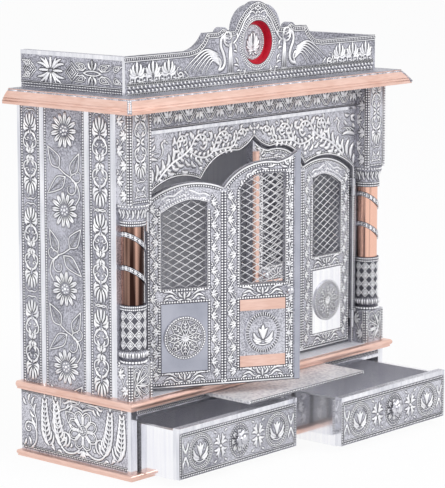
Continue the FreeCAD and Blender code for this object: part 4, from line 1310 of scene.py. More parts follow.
@dataclass
class ArchPanel:
    """The panel over the doors: a vine frieze, and birds and scrolls over the arch."""

    face: float = -94.0
    half_width: float = 258.0
    frieze: tuple[float, float] = (514.0, 548.0)

    def build(self) -> None:
        """Embosses the whole panel."""
        pen = front_pen(self.face)
        half, (low, high) = self.half_width, self.frieze
        pen.plates("frieze_ground", Finish.GROUND, (complex(-half, low), complex(half, high), 0.2))
        band = front_pen(self.face - 0.2)
        self.vine_frieze(band)
        band.emboss("frieze_relief")
        pen.moved(498j).blossom(10, 4)
        for hand in pen.both():
            self.scrolls(hand)
            self.arch_edge(hand)
        pen.emboss("arch_panel_relief")
        step = front_pen(self.face - 3)
        step.plates(
            "frieze_step_strip", Finish.POLISHED, (complex(-half, 508.5), complex(half, 513.5), 0.3))

    def vine_frieze(self, pen: Pen) -> None:
        """A double wave stem on a darker ground with a lobed leaf in each bend.

        Args:
            pen: The pen.
        """
        low, high = self.frieze
        middle = (low + high) / 2 + 1
        waves = 11
        pitch = self.half_width * 2 / waves
        for offset in (0.0, 4.2):
            knots = [
                complex(
                    -self.half_width + pitch * index / 4 + offset, middle - 11.5 * (0, 1, 0, -1)[index % 4])
                for index in range(waves * 4 + 1)]
            pen.curve(knots, 1.9)
        for index in range(waves * 2):
            side = 1 if index % 2 == 0 else -1
            spot = pen.moved(complex(-self.half_width + pitch * (index + 0.5) / 2 + 2, middle + side * 3),
                             0 if side > 0 else 180, 0.8)
            spot.curve([-9j, -2+0j, 11j], 6.4, Taper.LEAF)
            for hand in spot.both():
                hand.leaves((1-5j, 8+11j, 5.2, -0.25), (2-6j, 12+4j, 4.6, 0.25), (2-7j, 11-5j, 4.0, 0.2))
            spot.bead(14j, 1.6)
        for level in (low + 1.5, high - 1.5):
            pen.stroke(level_line(-self.half_width, self.half_width, level), 1.0)

    @staticmethod
    def arch_path() -> Path:
        """The arch's edge from the right jamb's foot up to its peak.

        Returns:
            The edge's points.
        """
        lobe = bowed(249+413j, 124.5+430j, -17, 12)
        shoulder = bowed(124.5+430j, 38+465.5j, -14, 10)
        peak = bowed(38+465.5j, 485.5j, 3, 5)
        return [249+120j, *lobe, *shoulder[1:], *peak[1:]]

    def arch_edge(self, pen: Pen) -> None:
        """The white line and bead row along the arch.

        Args:
            pen: The pen.
        """
        path = along(self.arch_path(), 6.0)
        pen.stroke(beside(path, -1.6), 2.2)
        pen.beads([spot for spot in beside(path, -4.6) if spot.imag < 480], 3.9, 1.2)
        pen.bead(125+447j, 3.4)

    @staticmethod
    def scrolls(pen: Pen) -> None:
        """Half of the ornament over the arch: a branch with three volutes and leaves, and a bird.

        Args:
            pen: The pen.
        """
        trunk = smooth([222+436j, 205+450j, 186+462j, 164+470j, 147+481j, 138+493j, 127+499j, 115+495j,
                        111+484j, 118+476j, 126+480j])
        second = smooth([166+469j, 174+479j, 177+491j, 169+500j, 158+497j, 156+488j, 163+485j])
        third = smooth([150+475j, 133+466j, 113+463j, 97+470j, 91+484j, 82+496j, 69+499j, 61+491j, 66+482j,
                        74+485j])
        fourth = smooth([97+470j, 82+472j, 66+473j, 51+474j, 43+483j, 37+495j, 27+499j, 19+493j, 25+487j])
        for path, width in ((trunk, 4.2), (second, 3.4), (third, 3.8), (fourth, 3.4)):
            pen.stroke(path, width)
        for path in (trunk[:-8], second[:-6], third[:-6], fourth[:-4]):
            pen.foliage(path, 5.6, 10.5, 5.6)
        for start, end, width, bend in (
            (234+431j, 240+462j, 6.5, 0.15), (243+425j, 253+455j, 6.5, 0.15),
            (226+440j, 224+464j, 5.5, 0.2), (250+417j, 256+438j, 5, 0.1), (215+447j, 211+470j, 5.5, 0.2),
            (203+455j, 197+478j, 5.5, 0.2), (190+464j, 187+486j, 5.5, 0.2), (200+449j, 182+446j, 5, 0.2),
            (190+456j, 172+452j, 5, 0.2), (180+462j, 160+456j, 5, 0.2), (168+448j, 152+446j, 4.6, 0.2),
            (160+464j, 146+454j, 4.6, 0.2), (146+462j, 134+450j, 4.6, 0.2), (132+462j, 120+452j, 4.2, 0.2),
            (190+486j, 184+502j, 5, 0.2), (150+505j, 142+500j, 4, 0.1), (144+492j, 150+504j, 4.6, 0.1),
            (104+486j, 100+503j, 5, 0.1), (97+490j, 108+502j, 4.4, 0.1), (84+480j, 78+490j, 4.2, 0.2),
            (54+478j, 48+498j, 4.6, 0.2), (50+503j, 58+499j, 3.6, 0.1), (240+500j, 226+503j, 4.4, 0.2),
            (255+498j, 242+492j, 4.4, -0.2), (254+488j, 243+501j, 4.4, 0.2), (236+484j, 226+493j, 4, 0.2),
            (256+478j, 248+486j, 4, 0.2), (118+486j, 122+492j, 3.6, 0.1), (167+490j, 168+495j, 3.2, 0.1),
            (12+497j, 9+505j, 3.6, 0.1)):
            pen.leaf(start, end, width * 1.3, bend)
        pen.curves(
            ([257+464j, 246+469j, 232+471j, 219+468j], 6.5, Taper.LEAF),
            ([224+470j, 213+474j, 209+483j, 212+491j, 206+497j], 4.4, Taper.PETAL))
        pen.bead(206+496j, 2.8)
        pen.leaf(204+495j, 197+491j, 3)
        for index in range(3):
            pen.curve([complex(250 - index * 7, 474), complex(240 - index * 6, 479),
                       complex(228 - index * 5, 478)], 2.4, Taper.TAIL)


@dataclass
class Pillars:
    """The front corners: embossed blocks, a lotus bulb, a diamond-netted drum, bands and a capital."""

    axis: tuple[float, float] = (281.5, -100.0)
    block: tuple[float, float] = (258.0, 305.0)
    front: float = -117.0
    wall: float = -90.0
    base_block: tuple[float, float] = (118.0, 173.0)
    top_block: tuple[float, float] = (411.6, 548.0)
    drum: tuple[float, float] = (195.0, 253.0)
    drum_radius: float = 18.8
    net: tuple[int, int] = (4, 6)
    ring_radius: float = 19.6
    rings: tuple[tuple[float, float], ...] = (
        (175.5, 2.2), (255.0, 1.4), (259.0, 1.4), (381.0, 1.4), (385.0, 1.4))
    bulb_mean: float = 21.5
    capital_mean: float = 21.0
    petal_pitch: float = 9.0
    half_turn: float = 118.0
    bands: tuple[float, float] = (354.0, 304.0)
    band_radius: float = 18.5

    def build(self) -> None:
        """Embosses the front blocks' three faces and the turned parts of both pillars."""
        pen = front_pen(self.front)
        for hand in pen.both():
            self.block_front(hand)
        pen.emboss("pillar_front_relief")
        for distance, inwards in zip(self.block[::-1], (False, True)):
            for side, pen in side_pens(distance, inwards):
                self.block_side(pen)
                pen.emboss(f"{side}_pillar_edge_relief_{round(distance)}")
        for side, sign in SIDES:
            self.turned(side, sign)

    def block_front(self, pen: Pen) -> None:
        """The front faces of one pillar's blocks.

        Args:
            pen: The pen.
        """
        low, high = self.block
        middle = (low + high) / 2
        for bottom, top in (self.base_block, self.top_block):
            for across, inward in ((low + 2.6, 1), (high - 2.6, -1)):
                pen.beads(upright(across, bottom + 2, top - 2), 4.2, 1.7)
                pen.stroke(upright(across + 3.6 * inward, bottom, top), 1.2)
        pen.beads(level_line(low + 7, high - 7, self.top_block[0] + 3), 4.0, 1.4)
        flower = pen.moved(complex(middle, 503), scale=0.82)
        for standing in (flower, flower.moved(0j, 180)):
            for hand in standing.both():
                SideWalls.candelabrum(hand)
                hand.leaf(0j, 11+7j, 5.0)
        for hand in pen.moved(complex(middle, 430), scale=0.7).both():
            hand.curl(1-10j, 7-2j, 0.9, 3.0)
            hand.leaves((1+2j, 12+12j, 5.0, -0.2), (10-8j, 18-14j, 4.0))
        root = complex(high - 11, 142)
        for angle, reach, width in (
            (95, 25, 12), (135, 36, 15), (172, 31, 14), (205, 30, 13), (262, 19, 11)):
            petal = pen.moved(root, angle)
            petal.teardrop(reach, width)
            petal.stroke(level_line(reach * 0.3, reach * 0.7, 0), 1.6, Taper.LEAF)
        for angle in (112, 153, 189, 236):
            pen.leaf(root, root + cmath.rect(26, math.radians(angle)), 3.2)

    def block_side(self, pen: Pen) -> None:
        """A narrow face of one pillar's blocks: bead rows and a leafy wave.

        Args:
            pen: The pen.
        """
        front = -self.front
        back = -self.wall
        middle = (front + back) / 2
        for bottom, top in (self.base_block, self.top_block):
            pen.beads(upright(front - 2.6, bottom + 2, top - 2), 4.2, 1.7)
            pen.stroke(upright(front - 6.0, bottom, top), 1.2)
            pen.vine(complex(middle - 2, bottom + 2), complex(middle - 2, top - 2),
                     round((top - bottom) / 40), 5.5, 11.0)

    def column_pen(self, sign: int, mean: float, radius: Callable[[float], float] | None = None) -> Pen:
        """A pen for a turned part of one radius, or of a radius that changes with the level."""
        axis = Vector((self.axis[0] * sign, self.axis[1], 0))
        return Pen(Relief(Column(axis, radius or (lambda level: mean), mean)), flipped=sign > 0)

    def round_line(self, radius: float, level: float) -> Path:
        """A line round the part of a column that shows, at one level."""
        reach = math.radians(self.half_turn) * radius
        return level_line(-reach, reach, level)

    def turned(self, side: str, sign: int) -> None:
        """The turned parts of one pillar. The bands aren't mirrored: both rise the same way.

        Args:
            side: The side's name.
            sign: -1 on the left, 1 on the right.
        """
        for label, mean, radius, draw in (
            ("drum_relief", self.drum_radius, None, self.draw_drum),
            ("bead_rings", self.ring_radius, None, self.draw_rings),
            ("lotus_bulb_relief", self.bulb_mean, self.bulb_radius, self.draw_bulb),
            ("capital_relief", self.capital_mean, self.capital_radius, self.draw_capital)):
            pen = self.column_pen(sign, mean, radius)
            draw(pen)
            pen.emboss(f"{side}_{label}")
        bands = Pen(self.column_pen(sign, self.band_radius).relief)
        self.draw_bands(bands)
        bands.emboss(f"{side}_band_beads")

    def draw_drum(self, pen: Pen) -> None:
        """A net of double diamonds with a petal in each.

        Args:
            pen: The pen.
        """
        half = math.radians(self.half_turn) * self.drum_radius
        low, high = self.drum
        rows, columns = self.net
        tall, wide = (high - low) / rows, half * 2 / columns
        for row in range(rows):
            for column in range(columns):
                spot = complex(-half + wide * (column + 0.5), low + tall * (row + 0.5))
                for inset in (0.0, 3.2):
                    across, up = wide / 2 - inset, tall / 2 - inset
                    for hand, foot in ((across, up), (-across, up), (-across, -up), (across, -up)):
                        pen.stroke(along([spot + hand, spot + 1j * foot], 3.0), 1.6)
                pen.leaf(spot + 2.8j, spot - 3.0j, 3.0, taper=Taper.PETAL)

    def draw_rings(self, pen: Pen) -> None:
        """Rings of beads at the joints.

        Args:
            pen: The pen.
        """
        for level, size in self.rings:
            pen.beads(self.round_line(self.ring_radius, level), size * 2.2, size)

    def draw_bulb(self, pen: Pen) -> None:
        """Upright petals round the bulb, by turns broad and slim.

        Args:
            pen: The pen.
        """
        for spot in along(self.round_line(self.bulb_mean, 0), self.petal_pitch):
            for offset, foot, width in ((0.0, 180.0, 4.2), (4.5, 184.5, 2.4)):
                levels = (foot, 184.2, 188.6, 193.5)
                pen.stroke([complex(spot.real + offset, level) for level in levels], width, Taper.LEAF)

    def draw_capital(self, pen: Pen) -> None:
        """Acanthus leaves under a row of beads.

        Args:
            pen: The pen.
        """
        for spot in along(self.round_line(self.capital_mean, 0), self.petal_pitch):
            leaf = [405.5j, 1+401j, 2+396j, 392j, -2+389j]
            pen.stroke([spot.real + place for place in leaf], 4.0, Taper.LEAF)
            pen.leaf(spot.real + 4.5 + 406j, spot.real + 5 + 396.5j, 2.6)
            for offset in (0, 4.5):
                pen.bead(spot.real + offset + 409.2j, 1.7)

    def draw_bands(self, pen: Pen) -> None:
        """A bead row between two lines on each slanted band of the shaft.

        Args:
            pen: The pen.
        """
        turns = [math.radians(angle) for angle in range(-112, 113, 4)]
        for level in self.bands:
            path = [complex(self.band_radius * turn, level - 13.5 * math.sin(turn)) for turn in turns]
            pen.beads(path, 3.6, 1.3)
            for distance in (-2.5, 2.5):
                pen.stroke(beside(path, distance), 0.7)

    @staticmethod
    def bulb_radius(level: float) -> float:
        """The bulb's radius at a level.

        Args:
            level: The level in millimetres.

        Returns:
            The radius there.
        """
        if level < 184:
            return 16 + 5.5 * (level - 178) / 6
        if level < 189:
            return 21.5
        return 21.5 - 5.5 * (level - 189) / 6

    @staticmethod
    def capital_radius(level: float) -> float:
        """The capital's radius at a level.

        Args:
            level: The level in millimetres.

        Returns:
            The radius there.
        """
        if level < 396:
            return 19.6 - 1.6 * (level - 387) / 9
        if level < 406.6:
            return 18 + 5.5 * (level - 396) / 10.6
        return 23.5


@dataclass
class Doors:
    """Both doors' faces, drawn in distances from the hinge line: leafy stiles, beaded frames and rails."""

    pin: tuple[float, float] = (247.5, -97.0)
    face: float = 7.0
    opening: float = 29.7
    foot: float = 123.0
    edge: float = 246.0
    free_edge: float = 237.0
    stiles: tuple[float, ...] = (13.0, 109.8, 136.2, 229.4)
    bead: float = 1.65
    windows: tuple[tuple[float, float], ...] = ((24.0, 97.0), (149.0, 222.0))
    sill: float = 275.0
    panel: tuple[float, float] = (147.0, 251.0)
    heads: tuple[float, ...] = (392.0, 419.0)

    def build(self) -> None:
        """Embosses both doors."""
        for name, pen in self.pens(self.face):
            self.frames(pen)
            self.stile_vines(pen)
            self.rails(pen)
            self.head(pen)
            pen.emboss(f"{name}_relief", name)
        for name, pen in self.pens(self.face):
            low = self.window_head()
            pen.relief.plate([pen.place(spot) for spot in [*low, 98+417j, *bowed(97+414j, 24+414j, -13.5),
                                                           23+416j]] [::-1 if pen.flipped else 1], 0.3,
                             -3.9)
            pen.relief.build(f"{name}_window_head", name, Finish.PALE_GROUND, smooth_faces=False)
        name, pen = self.pens(self.face)[0]
        peak = bowed(209.5+460.5j, 246+479j, -3, 5)[3:]
        pen.plate([complex(self.free_edge, self.foot), complex(self.edge, self.foot),
                   *[spot - 1j for spot in peak[::-1]], complex(self.free_edge, peak[0].imag - 2)], 1.5)
        # The free edge strip takes the mirror finish, whose darker bluish colour is a painted reflection.
        pen.relief.build("left_door_free_edge_strip", name, Finish.MIRROR_PAINTED_REFLECTION, smooth_faces=False)

    def pens(self, depth: float) -> list[tuple[str, Pen]]:
        """A pen for each door at a depth behind its hinge pin.

        Args:
            depth: How far behind the hinge pin the face lies.

        Returns:
            Each door's name and pen.
        """
        pens = []
        for name, opening, sign in (("left_door", self.opening, -1), ("right_door", 0.0, 1)):
            turn = math.radians(opening)
            origin = Vector((self.pin[0] * sign + depth * math.sin(turn),
                             self.pin[1] + depth * math.cos(turn), 0))
            pens.append((
                name,
                Pen(Relief(Sheet(origin, Vector((math.cos(turn), -math.sin(turn), 0)))), flipped=sign > 0)))
        return pens

    @staticmethod
    def window_head() -> Path:
        """The arched top of the outer window, from the hinge side inwards."""
        return smooth([23+389j, 40+399.5j, 58+406.5j, 75+409j, 98+404j], 3)

    def frames(self, pen: Pen) -> None:
        """Bead rows round the windows and panels, between the halves and along the edges.

        Args:
            pen: The pen.
        """
        inset, bead, (foot, lintel) = 2.8, self.bead, self.panel
        for (low, high), top in zip(self.windows, self.heads):
            pen.beads(trough(low - inset, high + inset, top, self.sill - inset), 4.2, bead)
            pen.stroke(trough(low - 0.6, high + 0.6, top, self.sill - 0.6), 1.2)
            panel = box_path(complex(low - inset, foot - inset), complex(high + inset, lintel + inset))
            pen.beads(panel, 4.2, bead)
        pen.beads(beside(self.window_head(), 2.6), 4.2, bead)
        pen.stroke(beside(self.window_head(), 0.4), 1.4)
        pen.beads(beside(self.window_head()[:8], 8.0), 4.2, bead)
        pen.beads([146.4+419j, *bowed(147+420j, 184+447j, 6, 8), 224.6+447j, 224.6+419j], 4.2, bead)
        for across in (120.6, 125.4):
            pen.beads(upright(across, self.foot + 4, 418), 4.2, bead)
        pen.beads(upright(self.edge - 13, self.foot + 4, 464), 4.2, bead)
        pen.beads(upright(4, self.foot + 4, 405), 4.2, bead)
        pen.stroke(level_line(1.5, self.edge, self.foot + 1.4), 2.4)
        pen.beads(level_line(8, self.edge - 7, self.foot + 5.4), 4.0, 1.4)

    def stile_vines(self, pen: Pen) -> None:
        """Leafy vines up the four stiles.

        Args:
            pen: The pen.
        """
        tops = (405.0, 412.0, 420.0, 455.0)
        for across, top in zip(self.stiles, tops):
            low = self.foot + 10
            narrow = 0.5 if across > 200 else 1.0
            pen.vine(complex(across, low), complex(across, top), round((top - low) / 36), 3.6 * narrow,
                     8.4 * narrow ** 0.5)

    def rails(self, pen: Pen) -> None:
        """Two pairs of scrolled leaves and a flower with berries on each rail.

        Args:
            pen: The pen.
        """
        for low, high in self.windows:
            for level in (262.5, 136.5):
                spot = pen.moved(complex((low + high) / 2, level))
                for hand in spot.both():
                    hand.curves(
                        ([5-6j, 14-4j, 22+2j, 33-2j], 3.6, Taper.PETAL),
                        ([9-1j, 16+4j, 24+8j, 34+7j], 3.4, Taper.PETAL))
                    hand.leaves((24-3j, 34-7j, 3.0, 0.1), (2-2j, 9+8j, 3.4, -0.2), (2-5j, 11-7j, 3.0, 0.1))
                    hand.bead(4.2+5j, 1.4)
                    hand.bead(12+7j, 1.1)
                spot.leaf(-6j, 8j, 3.6)

    def head(self, pen: Pen) -> None:
        """The line and beads along the arched top with leaf sprays under it.

        Args:
            pen: The pen.
        """
        lobe = bowed(1.5+408j, 123+425j, 17, 12)
        shoulder = bowed(123+425j, 209.5+460.5j, 14, 10)
        peak = bowed(209.5+460.5j, 246+479j, -3, 5)
        for path in (lobe, [*shoulder, *peak[1:-1]]):
            inner = beside(path, -1.6)
            pen.stroke(inner, 3.0)
            pen.beads(along(beside(path, -5.2), 3.9)[1:-1], 3.9, 1.3)
        pen.curves(
            ([24+410j, 34+415j, 44+415j, 51+420j, 58+424j], 3.0),
            ([68+423j, 76+420j, 84+416.5j, 92+417j, 100+413j], 3.0))
        for spot, size in ((63+416.5j, 5.0), (63+425.5j, 3.2), (54+415j, 3.4), (73+414.5j, 3.4)):
            pen.moved(spot).blossom(size, 4)
        pen.leaves((30+407j, 40+410j, 3.4, 0.1), (86+411j, 96+408j, 3.4, 0.1))
        for start, end, width in (
            (158+437j, 168+445j, 3.6), (166+440j, 178+450j, 3.6), (206+457j, 192+454j, 3.6),
            (196+450.5j, 182+453j, 3.4), (226+452j, 214+456j, 3.4), (230+455j, 231+466j, 3.8),
            (228+454j, 220+463j, 3.4), (154+426j, 152+436j, 3.4)):
            pen.leaf(start, end, width, 0.15)


@dataclass
class Lattices:
    """The doors' windows: thin expanded bars in flat diamonds, behind the leaf's face."""

    depth: float = 11.2
    diamond: tuple[float, float] = (19.7, 11.4)
    bar: float = 1.15

    def build(self, doors: Doors) -> None:
        """Makes the bars of both doors and lets them stand for the plain lattices.

        Args:
            doors: The doors.
        """
        inner_top = [*bowed(149+420j, 184+446j, 6, 8), 223+446j]
        for name, pen in doors.pens(self.depth):
            for (low, high), top in zip(doors.windows, (doors.window_head(), inner_top)):
                self.window(pen, (low, high), doors.sill, top)
            pen.relief.hollows = []
            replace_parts(pen.relief.build(f"{name}_lattice_bars", name, Finish.WIRE), f"{name}_lattices")

    def window(self, pen: Pen, sides: tuple[float, float], sill: float, top: Path) -> None:
        """Lays both families of bars, cut off under the window's frame.

        Args:
            pen: The pen.
            sides: The window's left and right side.
            sill: The level of its sill.
            top: The line of its head.
        """
        wide, high = self.diamond
        low_side, high_side = sides
        for slope in (high / wide, -high / wide):
            for index in range(-4, 20):
                spots = [
                    complex(across, sill + index * high + slope * (across - low_side))
                    for across in [low_side - 1 + step for step in range(int(high_side - low_side) + 3)]]
                inside = [spot for spot in spots if sill - 1 <= spot.imag <= self.level(top, spot.real) + 1]
                if len(inside) > 2:
                    pen.stroke([inside[0], inside[-1]], self.bar, height=1.1)

    @staticmethod
    def level(path: Path, across: float) -> float:
        """How high a path that runs from left to right lies at a place.

        Args:
            path: The line, from left to right.
            across: The place across.

        Returns:
            The level.
        """
        for start, end in zip(path, path[1:]):
            if across <= end.real:
                return start.imag + (end.imag - start.imag) * max(
                    0.0, (across - start.real) / (end.real - start.real))
        return path[-1].imag


@dataclass
class Pulls:
    """The drawers' flower pulls and the doors' round knobs, turned smooth."""

    sides: int = 48
    petals: int = 8
    pull: tuple[tuple[float, float, float], ...] = (
        (0, 5.5, 0), (1, 4.6, 0), (5, 4.6, 0), (6, 9, 0.1), (6.4, 13, 0.11), (7.6, 13.2, 0.11),
        (8.8, 11.5, 0.1), (9.4, 7, 0.04), (10, 7.4, 0), (11.6, 7.6, 0), (13, 6, 0), (13.8, 3.4, 0),
        (14, 0.05, 0))
    knob: tuple[tuple[float, float, float], ...] = (
        (0, 5, 0), (1, 4.8, 0), (2, 3, 0), (7, 3, 0), (8.4, 5, 0), (10.5, 6, 0), (13, 5.6, 0),
        (15.4, 3.6, 0), (16.4, 0.05, 0))

    def build(self, drawers: DrawerFronts, doors: Doors) -> None:
        """Makes the four pulls, each in place of its plain solid.

        Args:
            drawers: The drawers' fronts.
            doors: The doors.
        """
        for name, middle, face in drawers.faces:
            self.turned(f"{name}_flower_pull", name, Sheet(Vector((middle, face, drawers.level)), FRONT),
                        0j, self.pull, f"{name}_pull")
        for name, pen in doors.pens(doors.face):
            self.turned(
                f"{name}_round_knob", name, pen.relief.face, pen.place(226+263j), self.knob, f"{name}_knob")

    def turned(self, name: str, body: str, sheet: Sheet, centre: complex,
               profile: Sequence[tuple[float, float, float]], node: str) -> None:
        """Turns a profile of reach, radius and ripple round a line that stands on a face.

        Args:
            name: The piece's name.
            body: The moving part that it rides on.
            sheet: The face that it stands on.
            centre: Its middle.
            profile: Rows of reach, radius and ripple.
            node: The plain solid that it replaces.
        """
        shape = Relief(sheet)
        for reach, radius, ripple in profile:
            for side in range(self.sides):
                turn = math.tau * side / self.sides
                shape.vertex(
                    centre + cmath.rect(radius * (1 + ripple * math.cos(self.petals * turn)), turn), reach)
        for row in range(len(profile) - 1):
            first = row * self.sides
            for side in range(self.sides):
                other = (side + 1) % self.sides
                shape.faces.append((first + side, first + other, first + other + self.sides,
                                    first + side + self.sides))
        shape.faces.append(tuple(reversed(range(self.sides))))
        shape.faces.append(tuple(range((len(profile) - 1) * self.sides, len(profile) * self.sides)))
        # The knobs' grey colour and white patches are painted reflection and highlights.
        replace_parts(shape.build(name, body, Finish.CHROME_PAINTED_REFLECTIONS), node)


@dataclass
class Medallions:
    """The round and oval reliefs on the doors' lower panels and their copper plates."""

    rosette: tuple[float, float, float] = (60.5, 199.0, 33.0)
    rosette_face: float = 3.6
    oval: tuple[float, float, float, float] = (185.5, 199.0, 29.0, 33.0)
    oval_face: float = 4.6
    ray: tuple[float, float] = (0.78, 0.95)

    def build(self, doors: Doors) -> None:
        """Embosses the medallions on both doors.

        Args:
            doors: The doors.
        """
        for label, depth, draw in (
            ("rosette", self.rosette_face, self.draw_rosette), ("oval", self.oval_face, self.draw_oval)):
            for name, pen in doors.pens(depth):
                draw(pen)
                pen.emboss(f"{name}_{label}_relief", name)

    def draw_rosette(self, pen: Pen) -> None:
        """Eight feathered petals in a ring of beads.

        Args:
            pen: The pen.
        """
        across, up, radius = self.rosette
        spot = pen.moved(complex(across, up))
        spot.bead_ring(0j, radius - 1.8, 4.0, 1.5)
        spot.ring(0j, radius - 4.6, 1.0, 40)
        for index in range(8):
            petal = spot.moved(0j, 45 * index)
            petal.stroke(level_line(3, 26, 0), 1.4)
            for hand in (1, -1):
                petal.curve([2+0j, complex(16, hand * 6.5), complex(27, hand * 2.5)], 1.5)
                for reach in (9, 14, 19):
                    petal.leaf(complex(reach, 0), complex(reach + 5, hand * 3.6), 1.7)
        spot.bead(0j, 2.0)

    def draw_oval(self, pen: Pen) -> None:
        """A lotus in an oval of beads and rays.

        Args:
            pen: The pen.
        """
        across, up, half_wide, half_high = self.oval
        spot = pen.moved(complex(across, up))
        for index in range(44):
            ray = cmath.rect(1, math.tau * index / 44)
            spot.stroke(
                [complex(ray.real * half_wide * reach, ray.imag * half_high * reach) for reach in self.ray],
                1.5)
        for hand in spot.both():
            hand.leaves((-12j, 8+8j, 6.0, 0.1), (1-13j, 16+2j, 5.4, -0.2), (1-14j, 17-8j, 4.4, -0.2))
        spot.leaf(-12j, 14j, 6.6)
        spot.curve([-12-16j, -19j, 12-16j], 2.0)


@dataclass
class DrawerFronts:
    """The drawers' fronts: a bare top band, bead borders, two medallions, scrolls and an oval ring."""

    faces: tuple[tuple[str, float, float], ...] = (
        ("left_drawer", -156.0, -200.0), ("right_drawer", 156.0, -255.0))
    half_width: float = 134.5
    level: float = 50.0
    half_height: float = 38.5
    band: float = 7.0
    board: float = 12.0
    medallion: tuple[float, float] = (88.0, 24.0)

    def build(self) -> None:
        """Embosses both fronts."""
        for name, middle, face in self.faces:
            sheet = Sheet(Vector((middle, face, self.level)), FRONT)
            pen = Pen(Relief(sheet))
            low, high = -self.half_height, self.half_height - self.band
            pen.beads(
                box_path(complex(-self.half_width + 3, low + 3), complex(self.half_width - 3, high - 3)),
                3.9, 1.3)
            pen.stroke(
                box_path(
                    complex(-self.half_width + 6.4, low + 6.4), complex(self.half_width - 6.4, high - 6.4)),
                1.1)
            centre = pen.moved(complex(0, (low + high) / 2))
            for hand in centre.both():
                self.half(hand)
            self.oval_ring(centre)
            pen.emboss(f"{name}_front_relief", name)
            pen.plates(
                f"{name}_top_band", Finish.POLISHED,
                (complex(-self.half_width, high), complex(self.half_width, self.half_height), 0.6),
                body=name)
            for label, sign, right in (("left", -1, LEFT), ("right", 1, RIGHT)):
                near, far = sorted((face * sign, (face + self.board) * sign))
                end = Pen(Relief(Sheet(Vector((middle + self.half_width * sign, 0, self.level)), right)))
                end.plates(
                    f"{name}_{label}_end_strip", Finish.POLISHED,
                    (complex(near, -self.half_height), complex(far, self.half_height), 0.3), body=name)

    def half(self, pen: Pen) -> None:
        """One medallion with the scrolls on both sides of it.

        Args:
            pen: The pen.
        """
        across, radius = self.medallion
        spot = pen.moved(complex(across, 0))
        spot.bead_ring(0j, radius, 4.0, 1.4)
        spot.ring(0j, radius - 3, 1.1, 36)
        spot.ring(0j, radius + 2.6, 1.1, 36)
        for hand in spot.both():
            hand.leaves((-9j, 8+12j, 5.4, 0.1), (1-10j, 16+7j, 5.0, -0.2), (1-11j, 17-4j, 4.2, -0.2))
            hand.beads(arc(-1j, 18.3, -50, 70, 8), 4.2, 1.0)
        spot.leaf(-9j, 15j, 6.0)
        spot.curve([-10-13j, -16j, 10-13j], 1.8)
        between = pen.moved(43+0j)
        for quarter in ParapetSides.quarters(between):
            quarter.leaves((2+1j, 16+5j, 4.4, 0.2), (2+2j, 12+14j, 4.8, 0.15), (0.5+3j, 4+20j, 4.4, -0.15),
                           (8+20j, 16+24j, 3.2, 0.1))
        between.bead(0j, 2.4)
        outside = pen.moved(121+0j)
        for quarter in ParapetSides.quarters(outside):
            quarter.leaves((1+1j, 6+10j, 3.6, 0.2), (1+8j, 5+20j, 3.6, -0.2))

    @staticmethod
    def oval_ring(pen: Pen) -> None:
        """The beaded oval behind the pull.

        Args:
            pen: The pen.
        """
        for reach, bead in ((1.0, 1.3), (0.8, 1.1)):
            ring = [
                complex(21 * reach * math.cos(turn), 25 * reach * math.sin(turn))
                for turn in [math.tau * step / 36 for step in range(37)]]
            pen.beads(ring, 3.8, bead)
        pen.daisy(19, 8, 6)


@dataclass
class BaseFront:
    """The rail over the drawers, the stile between them and the bare strips at the corners."""

    face: float = -117.0
    half_width: float = 305.0
    rail: tuple[float, float] = (91.0, 106.0)
    tray_half: float = 143.0
    tray_front: float = -206.0
    stile_half: float = 19.0
    floor: float = 9.0
    corner_strip: float = 12.0

    def build(self) -> None:
        """Embosses the base's front face."""
        pen = front_pen(self.face)
        for hand in pen.both():
            hand.beads(level_line(self.tray_half + 3, self.half_width - 14, 102.5), 3.9, 1.3)
            for spot in along(level_line(self.tray_half + 3, self.half_width - 14, 98.8), 4.0):
                hand.stroke([spot - 1 - 1.6j, spot + 1 + 1.6j], 1.3)
            hand.stroke(upright(self.stile_half - 3, self.floor + 2, 90), 1.4)
        pen.vine(complex(0, self.floor + 3), 88j, 2, 6, 12)
        pen.emboss("base_front_relief")
        lip = front_pen(self.tray_front)
        lip.beads(level_line(-self.tray_half + 5, self.tray_half - 5, 102.5), 3.9, 1.4)
        lip.emboss("tray_edge_beads", "tray")
        half, inner = self.half_width, self.half_width - self.corner_strip
        pen.plates(
            "base_front_strips", Finish.POLISHED,
            (complex(-half, self.floor), complex(-inner, self.rail[1]), 0.5),
            (complex(inner, self.floor), complex(half, self.rail[1]), 0.5),
            (complex(-inner, self.rail[0]), complex(inner, 95.5), 1.2))


